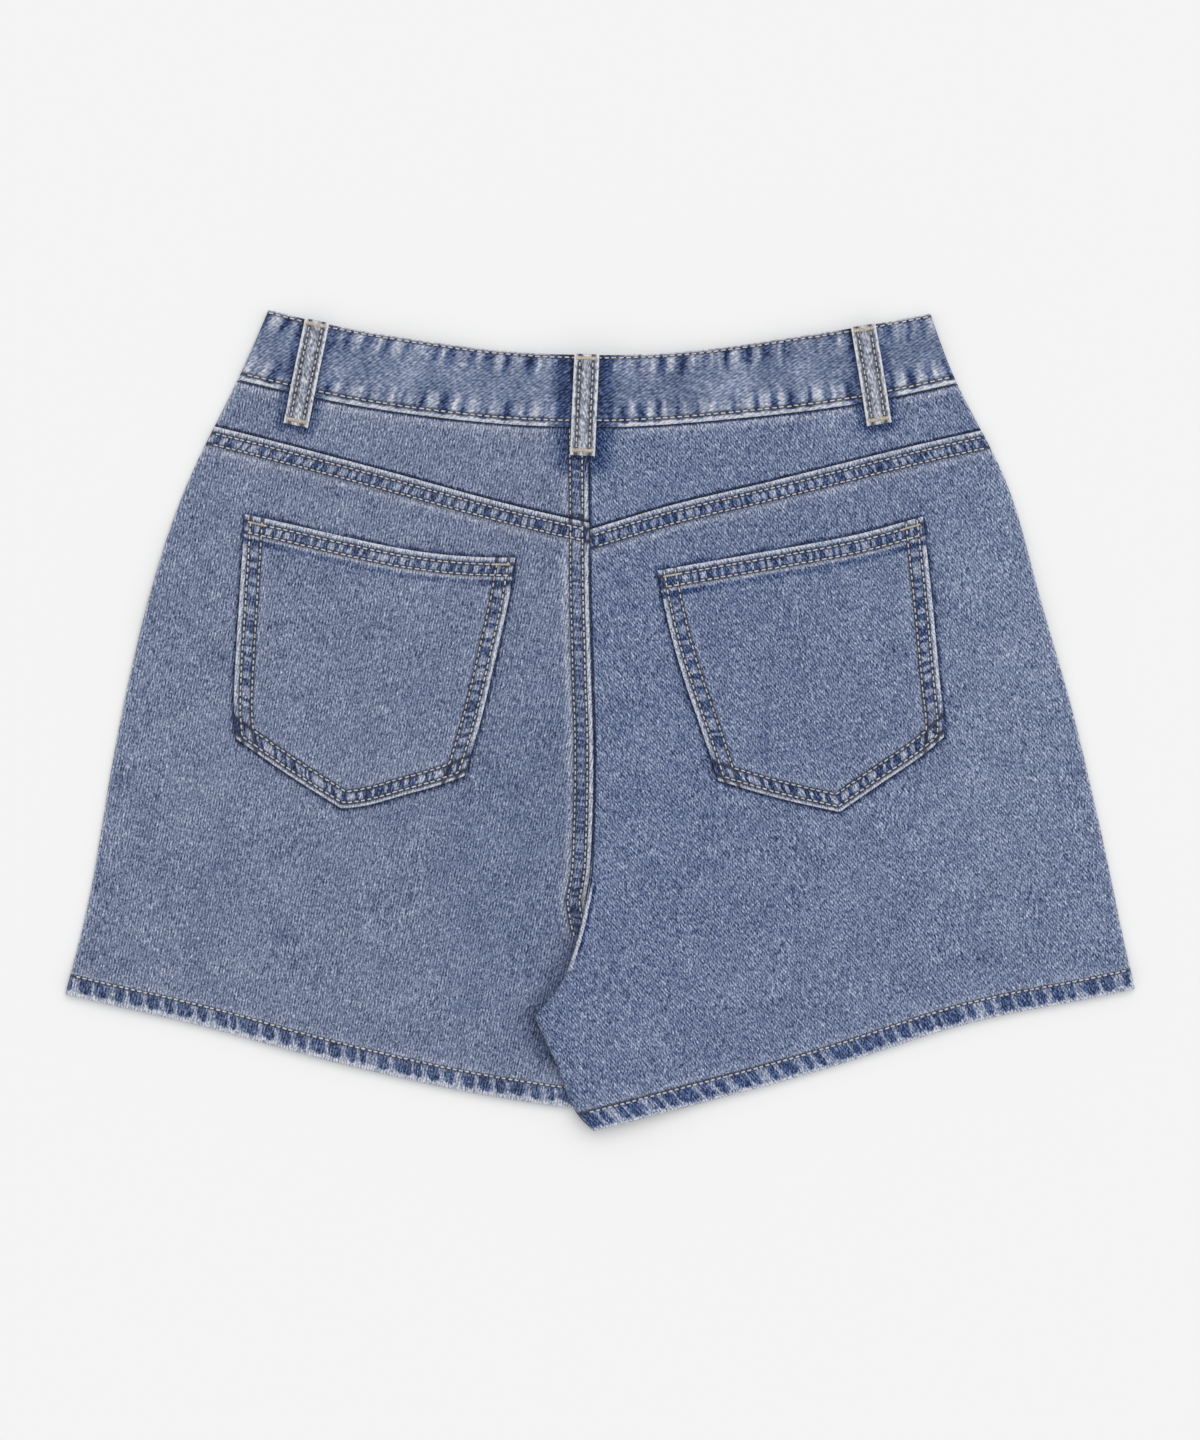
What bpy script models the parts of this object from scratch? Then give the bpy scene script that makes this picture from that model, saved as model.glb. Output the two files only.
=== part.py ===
"""Denim shorts laid flat on a table, back side up.

Frame: X to the right, Y towards the waist, Z up from the table; the origin is under the middle
of the outline. Sizes are in millimetres until a mesh is made, where MM turns them into metres.

The garment is a stack of cloth walls. Each panel is a four-sided patch between its seams in
plan, raised to the height of what lies under it, and given its thickness by Solidify. The right
leg lies over the inner edge of the left leg, so there the stack is four layers deep.
"""
import math

import bmesh
import bpy
import numpy as np

MM = 0.001

# ---- Driving dimensions --------------------------------------------------------------------
CLOTH = 1.2             # one layer of denim
FOLD = 1.0              # what a turned or felled edge adds to the layer
BAND = CLOTH + FOLD     # waistband, hems and seam bands
GAP = 0.3               # between pieces that meet or lie on each other
SLACK = 0.1             # added to the gap where a piece crosses the steps of a seam band
SEAM_AIR = 0.5          # air between front and back at the seams
LOFT = 1.4              # more air away from the seams
PRESSED_AIR = 0.4       # air in the left leg where the right leg lies on it
HELD_AIR = 1.1          # air in the right leg where it lies on the left leg
ROLL = 2.3              # width of the rounded side folds
SIDE_GAP = 0.8          # between the rounded edges of front and back, before their walls' tilt
HEM_DEPTH = 12.0
YOKE_BAND = 11.6        # felled yoke seam
SEAT_BAND = 9.8         # felled seat seam
POCKET_HEM = 11.0
POCKET_BAND = 9.0
POCKET_CLOTH = 1.1
FACING_TUCK = 11.1      # how far a front pocket's facing is slipped under the front
LOOP_WIDTH = 13.0
LOOP_CLOTH = 1.8
LOOP_ARCH = 1.0         # slack of a belt loop over the waistband
BUTTON_RADIUS = 8.5
BUTTON_HEAD = 2.2
SHANK_RADIUS = 1.5
SHANK_TOP = 4.6
BUTTONHOLE = (20.0, 3.6)
FLY_WIDTH = 36.0
FLY_LENGTH = 140.0
FLY_TOP = 131.0
ZIP_WIDTH = 24.0
ZIP_WALL = 0.7
TAB_END = 16.0          # the fastened waistband tab ends this far past the centre front
UNDERLAP_END = -14.0    # and the other half runs under it to here

# ---- Outline and seams in plan: x, y -------------------------------------------------------
LEFT_SIDE = ((-172.4, 213.2), (-188.4, 177.0), (-201.0, 151.8), (-215.0, 122.2), (-232.7, 70.2),
             (-245.7, 18.2), (-255.6, -33.8), (-264.4, -85.8), (-270.4, -113.0), (-278.2, -142.5))
RIGHT_SIDE = ((171.9, 211.3), (185.6, 175.3), (197.4, 152.4), (211.9, 122.2), (227.0, 70.2),
              (242.1, 18.2), (255.1, -33.8), (266.5, -85.8), (272.1, -113.0), (278.2, -139.7))
WAIST_TOP = ((-172.4, 213.2), (-140.1, 205.4), (-95.9, 197.6), (-51.7, 191.9), (-6.0, 189.5),
             (31.5, 190.3), (63.1, 193.4), (99.1, 198.6), (131.0, 203.6), (171.9, 211.3))
WAIST_SEAM = ((-188.4, 177.0), (-140.1, 166.0), (-95.9, 158.6), (-51.7, 153.9), (-6.0, 151.8),
              (31.5, 153.1), (63.1, 155.8), (134.9, 164.6), (185.6, 175.3))
FRONT_TOP = ((-172.4, 213.2), (-140.0, 201.5), (-95.0, 187.0), (-50.0, 176.0), (0.0, 171.5),
             (50.0, 175.5), (95.0, 186.0), (140.0, 200.0), (171.9, 211.3))
FRONT_SEAM = ((-188.4, 177.0), (-140.0, 161.5), (-95.0, 148.0), (-50.0, 138.0), (0.0, 133.5),
              (50.0, 137.5), (95.0, 147.0), (140.0, 160.0), (185.6, 175.3))
YOKE_SEAM_LEFT = ((-200.6, 152.7), (-178.6, 147.2), (-145.3, 138.5), (-93.3, 124.4), (-30.9, 107.9),
                  (-5.6, 102.2))
YOKE_SEAM_RIGHT = ((-5.6, 98.8), (10.0, 103.6), (40.5, 112.5), (76.5, 121.0), (116.7, 130.9),
                   (162.5, 142.4), (198.4, 150.6))
SEAT_SEAM = ((-6.0, 151.8), (-5.6, 102.2), (-5.3, 62.4), (-4.7, 41.6), (-4.2, 20.8), (-3.4, 0.0),
             (-3.1, -22.0), (-3.4, -46.0), (-4.2, -70.0), (-5.4, -84.0), (-7.3, -94.0))
FRONT_CENTRE = ((0.0, 133.5), (-0.4, 80.0), (-1.6, 10.0), (-3.4, -52.0))
# The right leg's inner edge shows on top, from the seat seam over the crotch tip to the hem
TOP_CROTCH = ((-7.3, -94.0), (-10.1, -107.0), (-15.9, -126.4), (-21.6, -138.8), (-27.8, -146.6),
              (-34.1, -154.2))
TOP_INSEAM = ((-34.1, -154.2), (-28.3, -167.0), (-21.9, -181.0), (-14.3, -200.7), (-9.6, -207.4),
              (-3.2, -213.5))
# The left leg's inner edge is hidden under it
UNDER_CROTCH = ((-7.3, -94.0), (-4.6, -108.0), (3.4, -125.0), (17.4, -145.0))
UNDER_INSEAM = ((17.4, -145.0), (11.0, -176.0), (6.5, -203.6))
HEM_LEFT = ((-278.2, -142.5), (-246.7, -149.9), (-207.7, -158.9), (-155.7, -173.2),
            (-106.3, -185.4), (-72.5, -192.7), (-43.9, -197.6), (-13.8, -201.8), (6.5, -203.6))
HEM_RIGHT = ((-3.2, -213.5), (32.2, -204.4), (69.4, -194.8), (106.5, -184.6), (143.6, -172.9),
             (180.8, -160.8), (217.9, -151.8), (255.1, -144.8), (278.2, -139.7))

# Back pockets: the mouth and the two halves of the foot run left to right, the sides run down
POCKETS = {
    "left": {
        "mouth": ((-184.4, 106.9), (-155.7, 100.5), (-124.5, 93.3), (-93.3, 87.4), (-62.1, 84.6),
                  (-44.0, 84.2)),
        "left": ((-184.4, 106.9), (-187.2, 62.4), (-189.8, 20.8), (-189.9, 0.0), (-188.9, -9.7)),
        "right": ((-44.0, 84.2), (-47.5, 62.4), (-52.0, 41.6), (-61.9, 0.0), (-70.5, -29.1)),
        "foot_left": ((-188.9, -9.7), (-162.0, -28.4), (-134.4, -45.9)),
        "foot_right": ((-134.4, -45.9), (-124.5, -44.9), (-103.7, -39.5), (-82.9, -33.6),
                       (-70.5, -29.1)),
    },
    "right": {
        "mouth": ((29.8, 77.5), (73.1, 85.2), (114.7, 92.5), (135.5, 96.8), (156.3, 102.4),
                  (167.6, 105.7)),
        "left": ((29.8, 77.5), (32.7, 62.4), (43.7, 20.8), (50.9, 0.0), (61.5, -31.5)),
        "right": ((167.6, 105.7), (173.6, 50.0), (177.6, 10.4), (178.6, 0.0), (178.5, -9.0)),
        "foot_left": ((61.5, -31.5), (92.0, -40.4), (124.5, -47.8)),
        "foot_right": ((124.5, -47.8), (151.0, -29.6), (170.0, -16.3), (178.5, -9.0)),
    },
}
# Scoop of each front pocket, from the waist seam to the side, drawn for the left side
SCOOP = ((-104.0, 150.4), (-110.0, 122.0), (-134.0, 92.0), (-175.0, 73.0), (-234.2, 66.0))
# Belt loops: name, foot x, foot y, head x, head y
BACK_LOOPS = (("belt_loop_back_left", -158.1, 153.0, -146.8, 207.4),
              ("belt_loop_back_centre", -9.1, 137.0, -6.8, 189.8),
              ("belt_loop_back_right", 145.1, 153.6, 136.6, 204.9))
FRONT_LOOPS = (("belt_loop_front_left", -88.0, 128.0, -101.0, 188.0),
               ("belt_loop_front_right", 88.0, 127.0, 101.0, 187.0))
BUTTON_PLACE = (2.0, 152.5)

# Rounded edges: distances from the edge where a patch has a row of points
FOLD_STOPS = (0.0, 0.8)
ROLL_ANGLES = (0.0, 6.0, 28.0, 50.0, 72.0, 90.0)
ROLL_STOPS = tuple(ROLL * (1 - math.cos(math.radians(a))) for a in ROLL_ANGLES)
FELL_SLOPE = 0.9
RAMP_STOPS = (10.0, 20.0, 31.0, 44.0)   # where the right leg climbs on to the left leg
INSEAM_ROLL = {"left": 0.6, "right": 1.0}   # the left inseam is pressed flat under the right leg
CREEP = 44.0            # how far round a raised piece the cloth takes to come down


# ---- Curves and patches in plan ------------------------------------------------------------
def ease(value):
    """Smooth step from 0 to 1."""
    t = np.clip(value, 0.0, 1.0)
    return t * t * (3 - 2 * t)


def near(distance, full, fade):
    """1 up to the full distance, easing to 0 over the fade."""
    return 1 - ease((distance - full) / fade)


class Line:
    """A plan curve through a few points, read by the fraction of its length."""

    def __init__(self, points, smooth=True, samples=240):
        knots = np.asarray(points, float)
        reach = reach_along(knots)
        if len(knots) < samples / 2:
            fine = np.union1d(np.linspace(0, reach[-1], samples), reach)
            knots = natural_spline(reach, knots, fine) if smooth and len(knots) > 2 else np.stack(
                [np.interp(fine, reach, knots[:, k]) for k in (0, 1)], -1)
        self.points = knots
        self.reach = reach_along(knots)

    @property
    def length(self):
        return self.reach[-1]

    def at(self, fraction):
        distance = np.clip(fraction, 0, 1) * self.length
        return np.stack([np.interp(distance, self.reach, self.points[:, k]) for k in (0, 1)], -1)

    def then(self, other):
        """This line and another that starts at its end, with a corner between them."""
        return Line(np.concatenate([self.points, other.points[1:]]), smooth=False)

    def between(self, start, end):
        """The stretch between two fractions of the length."""
        return Line(self.at(np.linspace(start, end, 160)), smooth=False)

    def reversed(self):
        return Line(self.points[::-1], smooth=False)

    def moved(self, distance):
        """Parallel line, to the left of the direction of travel when the distance is positive."""
        step = np.gradient(self.points, axis=0)
        step /= np.maximum(np.hypot(*step.T), 1e-9)[:, None]
        side = np.stack([-step[:, 1], step[:, 0]], -1)
        return Line(self.points + np.reshape(distance, (-1, 1)) * side, smooth=False)

    def fraction_at(self, axis, value):
        """The fraction of the length where x (axis 0) or y (axis 1) has a value."""
        coordinate = self.points[:, axis]
        order = np.argsort(coordinate)
        return float(np.interp(value, coordinate[order], self.reach[order])) / self.length

    def x_at(self, y):
        order = np.argsort(self.points[:, 1])
        return np.interp(y, self.points[order, 1], self.points[order, 0])

    def y_at(self, x):
        order = np.argsort(self.points[:, 0])
        return np.interp(x, self.points[order, 0], self.points[order, 1])

    def distance(self, x, y):
        """Distance of plan points from the line's own points, 1 to 2 mm apart."""
        away = np.hypot(x[..., None] - self.points[:, 0], y[..., None] - self.points[:, 1])
        return away.min(-1)


def reach_along(points):
    """Distance travelled at each point of a plan curve."""
    return np.concatenate([[0], np.cumsum(np.hypot(*np.diff(points, axis=0).T))])


def natural_spline(knot_reach, knots, reach):
    """Natural cubic spline through the knots, read at the given reaches."""
    n = len(knot_reach)
    gap = np.diff(knot_reach)
    system = np.eye(n)
    right = np.zeros((n, 2))
    for k in range(1, n - 1):
        system[k, k - 1:k + 2] = gap[k - 1], 2 * (gap[k - 1] + gap[k]), gap[k]
        right[k] = 6 * ((knots[k + 1] - knots[k]) / gap[k] - (knots[k] - knots[k - 1]) / gap[k - 1])
    bend = np.linalg.solve(system, right)
    k = np.clip(np.searchsorted(knot_reach, reach, side="right") - 1, 0, n - 2)
    span = gap[k][:, None]
    a = (knot_reach[k + 1] - reach)[:, None]
    b = (reach - knot_reach[k])[:, None]
    return ((bend[k] * a ** 3 + bend[k + 1] * b ** 3) / (6 * span)
            + (knots[k] / span - bend[k] * span / 6) * a
            + (knots[k + 1] / span - bend[k + 1] * span / 6) * b)


class Patch:
    """Cloth in plan between four edges: top and bottom run left to right, sides run down."""

    def __init__(self, top, bottom, left, right):
        self.top, self.bottom, self.left, self.right = top, bottom, left, right

    def at(self, u, v):
        corners = [edge.at(end) for edge in (self.top, self.bottom) for end in (0.0, 1.0)]
        u_, v_ = u[..., None], v[..., None]
        ruled = ((1 - v_) * self.top.at(u) + v_ * self.bottom.at(u)
                 + (1 - u_) * self.left.at(v) + u_ * self.right.at(v))
        bilinear = ((1 - u_) * (1 - v_) * corners[0] + u_ * (1 - v_) * corners[1]
                    + (1 - u_) * v_ * corners[2] + u_ * v_ * corners[3])
        return ruled - bilinear

    def speed(self, edge, t):
        """Millimetres square to an edge for a whole step across the patch, along the edge."""
        small = 0.002
        zero, inner = np.zeros_like(t), np.full_like(t, small)
        before, after = np.clip(t - small, 0, 1), np.clip(t + small, 0, 1)
        reads = {"left": lambda s, d: self.at(d, s), "right": lambda s, d: self.at(1 - d, s),
                 "top": lambda s, d: self.at(s, d), "bottom": lambda s, d: self.at(s, 1 - d)}
        read = reads[edge]
        along = read(after, zero) - read(before, zero)
        along /= np.maximum(np.hypot(along[..., 0], along[..., 1]), 1e-9)[..., None]
        across = (read(t, inner) - read(t, zero)) / small
        return np.maximum(np.abs(along[..., 0] * across[..., 1] - along[..., 1] * across[..., 0]), 5.0)

    def grid(self, columns, rows, left=(0.0,), right=(0.0,), top=(0.0,), bottom=(0.0,)):
        """Points at the stops near each edge, which are real distances, and evenly between."""
        wide = len(left) + columns - 1 + len(right)
        high = len(top) + rows - 1 + len(bottom)
        u = np.repeat(np.linspace(0, 1, wide)[:, None], high, 1)
        v = np.repeat(np.linspace(0, 1, high)[None, :], wide, 0)
        for _ in range(3):
            u = spread(left, right, columns, self.speed("left", v), self.speed("right", v))
            v = spread(top, bottom, rows, self.speed("top", u.T), self.speed("bottom", u.T)).T
        return Cloth(self.at(u, v), u * self.speed("left", v), (1 - u) * self.speed("right", v),
                     v * self.speed("top", u), (1 - v) * self.speed("bottom", u))


def spread(start, end, steps, start_speed, end_speed):
    """Fractions down the first axis: fixed stops at both ends and even steps between them."""
    low = start[-1] / start_speed[0]
    high = 1 - end[-1] / end_speed[-1]
    lines = [stop / start_speed[0] for stop in start]
    lines += [low + (high - low) * k / steps for k in range(1, steps)]
    lines += [1 - stop / end_speed[-1] for stop in reversed(end)]
    return np.array(lines)


class Cloth:
    """Plan points of a piece and their distances from its edges; columns first, then rows."""

    def __init__(self, points, to_left, to_right, to_top, to_bottom):
        self.x, self.y = points[..., 0], points[..., 1]
        self.to_left, self.to_right = to_left, to_right
        self.to_top, self.to_bottom = to_top, to_bottom


# ---- Lines of the garment ------------------------------------------------------------------
left_side, right_side = Line(LEFT_SIDE), Line(RIGHT_SIDE)
waist_top, waist_seam = Line(WAIST_TOP), Line(WAIST_SEAM)
front_top, front_seam = Line(FRONT_TOP), Line(FRONT_SEAM)
seat_seam = Line(SEAT_SEAM)
front_centre = Line(FRONT_CENTRE).then(seat_seam.between(seat_seam.fraction_at(1, FRONT_CENTRE[-1][1]), 1))
top_inner = Line(TOP_CROTCH).then(Line(TOP_INSEAM))
under_inner = Line(UNDER_CROTCH).then(Line(UNDER_INSEAM))
hem_left, hem_right = Line(HEM_LEFT), Line(HEM_RIGHT)
yoke_left_seam, yoke_right_seam = Line(YOKE_SEAM_LEFT), Line(YOKE_SEAM_RIGHT)
scoop_left = Line(SCOOP)
scoop_right = Line([(-x - 2.0, y - 0.5) for x, y in SCOOP[:-1]] + [(228.4, 65.0)])
CROSSING = SEAT_SEAM[-1][1]     # below this the right leg lies over the left leg


# ---- Heights of the stack ------------------------------------------------------------------
def box_distance(x, y, x_range, y_range):
    """Distance of plan points from an upright rectangle."""
    across = np.maximum(np.maximum(x_range[0] - x, x - x_range[1]), 0)
    along = np.maximum(np.maximum(y_range[0] - y, y - y_range[1]), 0)
    return np.hypot(across, along)


def strap_distance(x, y, foot, head):
    """Distance of plan points from a belt loop's outline."""
    foot, head = np.array(foot), np.array(head)
    length = np.hypot(*(head - foot))
    along = (head - foot) / length
    run = (x - foot[0]) * along[0] + (y - foot[1]) * along[1]
    off = np.abs((x - foot[0]) * along[1] - (y - foot[1]) * along[0])
    return np.hypot(np.maximum(np.maximum(-run, run - length), 0), np.maximum(off - LOOP_WIDTH / 2, 0))


def table_lift(x, y):
    """How far the button and the front belt loops hold the front off the table."""
    away = np.hypot(x - BUTTON_PLACE[0], y - BUTTON_PLACE[1])
    lift = (BUTTON_HEAD + GAP) * near(away, BUTTON_RADIUS + 2, CREEP)
    for _, foot_x, foot_y, head_x, head_y in FRONT_LOOPS:
        strap = strap_distance(x, y, (foot_x, foot_y), (head_x, head_y))
        lift = lift + (LOOP_CLOTH + GAP + SLACK) * near(strap, 2.0, CREEP)
    return lift


def leg_lift(x, y):
    """How far the left leg holds up the right leg, which lies over it."""
    edge = np.where(y > CROSSING, seat_seam.x_at(y), under_inner.x_at(y))
    below = ease((-34.0 - y) / 56.0)
    hem = near(y - hem_left.y_at(x), HEM_DEPTH + 14, 26)
    stack = 2 * CLOTH + 3 * GAP + 2 * FOLD * hem
    return stack * below * ease((edge + 60.0 - x) / 56.0)


def above_hem(x, y, side):
    """Height of plan points over the leg's hem."""
    return y - (hem_left if side == "left" else hem_right).y_at(x)


def front_stack(x, y, side):
    """Thickness of the front layer and of what lies on its inner face."""
    waist = ease((y - front_seam.y_at(x) + 8) / 7)
    hem = near(above_hem(x, y, side), HEM_DEPTH, 12)
    scoop = scoop_left if side == "left" else scoop_right
    pocket = near(scoop.distance(x, y), 13, 40) * (1 - ease((y - front_seam.y_at(x) - 2) / 10))
    fly = near(box_distance(x, y, (-FLY_WIDTH + 6, 18), (FLY_TOP - FLY_LENGTH - 2, FLY_TOP - 1)), 3, 36)
    underlap = near(box_distance(x, y, (UNDERLAP_END, 36), (133, 172)), 10, 42)
    folded = np.maximum(FOLD * np.maximum(waist, hem), (CLOTH + 2 * GAP) * pocket)
    fly_stack = CLOTH + ZIP_WALL + 3 * GAP
    return CLOTH + folded + fly_stack * fly * (1 - waist) + (BAND + GAP) * underlap


def loft(x, y, side):
    """Air between the layers, which the seams, hems and side folds pinch to a gap."""
    to_side = np.where(x < 0, x - left_side.x_at(y), right_side.x_at(y) - x)
    open_part = ease((to_side - 4) / 34) * ease((above_hem(x, y, side) - HEM_DEPTH) / 30)
    open_part = open_part * ease((front_seam.y_at(x) - 4 - y) / 20)
    return SEAM_AIR + LOFT * open_part


def pressed(x, y):
    """1 where the right leg's weight lies on the left leg, and close beside it."""
    return ease((x - top_inner.x_at(y) + 24) / 20) * ease((-66 - y) / 26)


def front_face(x, y, side):
    """Height of the front layer's outer face."""
    return table_lift(x, y) + (leg_lift(x, y) if side == "right" else 0.0)


def back_inner(x, y, side):
    """Height of the back layer's inner face."""
    air = loft(x, y, side)
    if side == "left":
        air = PRESSED_AIR + (air - PRESSED_AIR) * (1 - pressed(x, y))
    else:
        held = ease((-60 - y) / 30) * ease((110 - x) / 50)
        air = HELD_AIR + (air - HELD_AIR) * (1 - held)
    return front_face(x, y, side) + front_stack(x, y, side) + air


def rolled(face, middle, distance, amount=1.0):
    """Bring a face down (or up) to the middle of the stack in a quarter round at an edge."""
    inside = np.clip(1 - distance / ROLL, 0, 1)
    return middle + (face - middle) * (1 - amount * (1 - np.sqrt(1 - inside ** 2)))


def fell(distance, width):
    """Profile of a folded band from a rounded edge to the slope at its far side."""
    rounded = 0.5 + 0.5 * ease(distance / FOLD_STOPS[1])
    return np.minimum(rounded, near(distance, width - FELL_SLOPE, FELL_SLOPE))


def band_stops(width):
    """Where a folded band needs points: its rounded edge and the slope at its far side."""
    return FOLD_STOPS + (width - FELL_SLOPE, width)


# ---- Meshes --------------------------------------------------------------------------------
def start_collection(name):
    collection = bpy.data.collections.new(name)
    bpy.context.scene.collection.children.link(collection)
    return collection


def finish(name, colour, roughness, metallic=0.0):
    """A plain surface finish."""
    material = bpy.data.materials.get(name)
    if material is None:
        material = bpy.data.materials.new(name)
        material.use_nodes = True
        shader = material.node_tree.nodes["Principled BSDF"]
        shader.inputs["Base Color"].default_value = (*colour, 1.0)
        shader.inputs["Roughness"].default_value = roughness
        shader.inputs["Metallic"].default_value = metallic
    return material


def cloth_object(name, x, y, z, material, wall=CLOTH, fold=None):
    """A wall of cloth from a grid of points on its outer face, columns first, then rows.

    Solidify gives it its thickness, which fold (0 to 1) takes from one layer to a folded band.
    """
    columns, rows = x.shape
    mesh = bmesh.new()
    bmesh.ops.create_grid(mesh, x_segments=columns - 1, y_segments=rows - 1, size=1.0)
    folded = []
    for point in mesh.verts:
        i = round((point.co.x + 1) / 2 * (columns - 1))
        j = round((1 - point.co.y) / 2 * (rows - 1))
        point.co = (x[i, j] * MM, y[i, j] * MM, z[i, j] * MM)
        folded.append(0.0 if fold is None else float(fold[i, j]))
    data = bpy.data.meshes.new(name)
    mesh.to_mesh(data)
    mesh.free()
    data.materials.append(material)
    data.shade_smooth()
    obj = bpy.data.objects.new(name, data)
    garment.objects.link(obj)
    solid = obj.modifiers.new("wall", "SOLIDIFY")
    solid.offset = -1.0
    if fold is None:
        solid.thickness = wall * MM
        return obj
    group = obj.vertex_groups.new(name="folded")
    for index, weight in enumerate(folded):
        group.add([index], weight, "REPLACE")
    solid.thickness = (wall + FOLD) * MM
    solid.vertex_group = group.name
    solid.thickness_vertex_group = wall / (wall + FOLD)
    return obj


# ---- Back ----------------------------------------------------------------------------------
def back_panel(side, material):
    """Back leg panel, from the yoke seam to the hem; its seam bands are folded cloth."""
    left = side == "left"
    outer = left_side if left else right_side
    yoke = yoke_left_seam if left else yoke_right_seam
    seat = seat_seam.between(seat_seam.fraction_at(1, yoke.points[-1 if left else 0][1]), 1)
    outer = outer.between(outer.fraction_at(1, yoke.points[0 if left else -1][1]), 1)
    hem = hem_left if left else hem_right
    if left:
        inner = seat.then(under_inner)
        patch = Patch(yoke, hem, outer, inner)
        stops = {"left": ROLL_STOPS, "right": ROLL_STOPS + (SEAT_BAND - FELL_SLOPE, SEAT_BAND)}
    else:
        inner = seat.then(top_inner).moved(GAP + SLACK)
        patch = Patch(yoke, hem, inner, outer)
        stops = {"left": ROLL_STOPS + RAMP_STOPS, "right": ROLL_STOPS}
    columns = 12 if left else 9
    cloth = patch.grid(columns, 13, top=band_stops(YOKE_BAND), bottom=band_stops(HEM_DEPTH), **stops)
    to_outer, to_inner = (cloth.to_left, cloth.to_right) if left else (cloth.to_right, cloth.to_left)
    seat_lap = fell(to_inner, SEAT_BAND) * near(-cloth.y, 48, 40) if left else 0 * cloth.x
    fold = np.maximum.reduce([fell(cloth.to_top, YOKE_BAND), fell(cloth.to_bottom, HEM_DEPTH), seat_lap])
    z = back_inner(cloth.x, cloth.y, side) + CLOTH + FOLD * fold
    bottom = front_face(cloth.x, cloth.y, side)
    middle = (bottom + z) / 2 + SIDE_GAP / 2
    z = rolled(z, middle, to_outer)
    z = rolled(z, middle, to_inner, INSEAM_ROLL[side] * ease((CROSSING + 1 - cloth.y) / 9))
    return cloth_object(f"back_{side}", cloth.x, cloth.y, z, material, fold=fold)


def yoke_panel(side, material):
    """Yoke between the waistband and the back panel, which laps over its lower edge."""
    left = side == "left"
    outer = left_side if left else right_side
    back_middle = SEAT_SEAM[0][0]
    if left:
        waist = waist_seam.between(0, waist_seam.fraction_at(0, back_middle))
    else:
        waist = waist_seam.between(waist_seam.fraction_at(0, back_middle + GAP), 1)
    waist = waist.moved(-GAP - SLACK)
    yoke = (yoke_left_seam if left else yoke_right_seam).moved(GAP)
    outer_end, seat_end = (0, -1) if left else (-1, 0)
    outer = outer.between(outer.fraction_at(1, waist.points[outer_end][1]),
                          outer.fraction_at(1, yoke.points[outer_end][1]))
    seat = seat_seam.between(0, seat_seam.fraction_at(1, yoke.points[seat_end][1]))
    if left:
        patch = Patch(waist, yoke, outer, seat)
        cloth = patch.grid(10, 4, left=ROLL_STOPS, right=band_stops(SEAT_BAND))
    else:
        patch = Patch(waist, yoke, seat.moved(GAP), outer)
        cloth = patch.grid(11, 4, right=ROLL_STOPS)
    to_outer = cloth.to_left if left else cloth.to_right
    fold = fell(cloth.to_right, SEAT_BAND) if left else 0 * cloth.x
    z = back_inner(cloth.x, cloth.y, side) + CLOTH + FOLD * fold
    middle = (front_face(cloth.x, cloth.y, side) + z) / 2 + SIDE_GAP / 2
    return cloth_object(f"yoke_{side}", cloth.x, cloth.y, rolled(z, middle, to_outer), material, fold=fold)


def back_pocket(side, material):
    """Patch pocket with a hemmed mouth and a pointed foot, lying on the back panel."""
    lines = {edge: Line(points) for edge, points in POCKETS[side].items()}
    foot = lines["foot_left"].then(lines["foot_right"])
    patch = Patch(lines["mouth"], foot, lines["left"], lines["right"])
    edge = band_stops(POCKET_BAND)
    cloth = patch.grid(4, 4, left=edge, right=edge, top=band_stops(POCKET_HEM), bottom=edge)
    fold = np.maximum.reduce([fell(cloth.to_top, POCKET_HEM), fell(cloth.to_left, POCKET_BAND),
                              fell(cloth.to_right, POCKET_BAND), fell(cloth.to_bottom, POCKET_BAND)])
    soft = np.minimum.reduce([cloth.to_top, cloth.to_left, cloth.to_right, cloth.to_bottom])
    fold = np.minimum(fold, 0.5 + 0.5 * ease(soft / FOLD_STOPS[1]))
    z = back_inner(cloth.x, cloth.y, side) + CLOTH + GAP + SLACK + POCKET_CLOTH + FOLD * fold
    return cloth_object(f"back_pocket_{side}", cloth.x, cloth.y, z, material, wall=POCKET_CLOTH, fold=fold)


# ---- Waistband and loops -------------------------------------------------------------------
def ends_at(line, side, x):
    """The two fractions of a waistband line between its side end and a place near the centre."""
    middle = line.fraction_at(0, x)
    return (0, middle) if side == "left" else (middle, 1)


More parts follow.
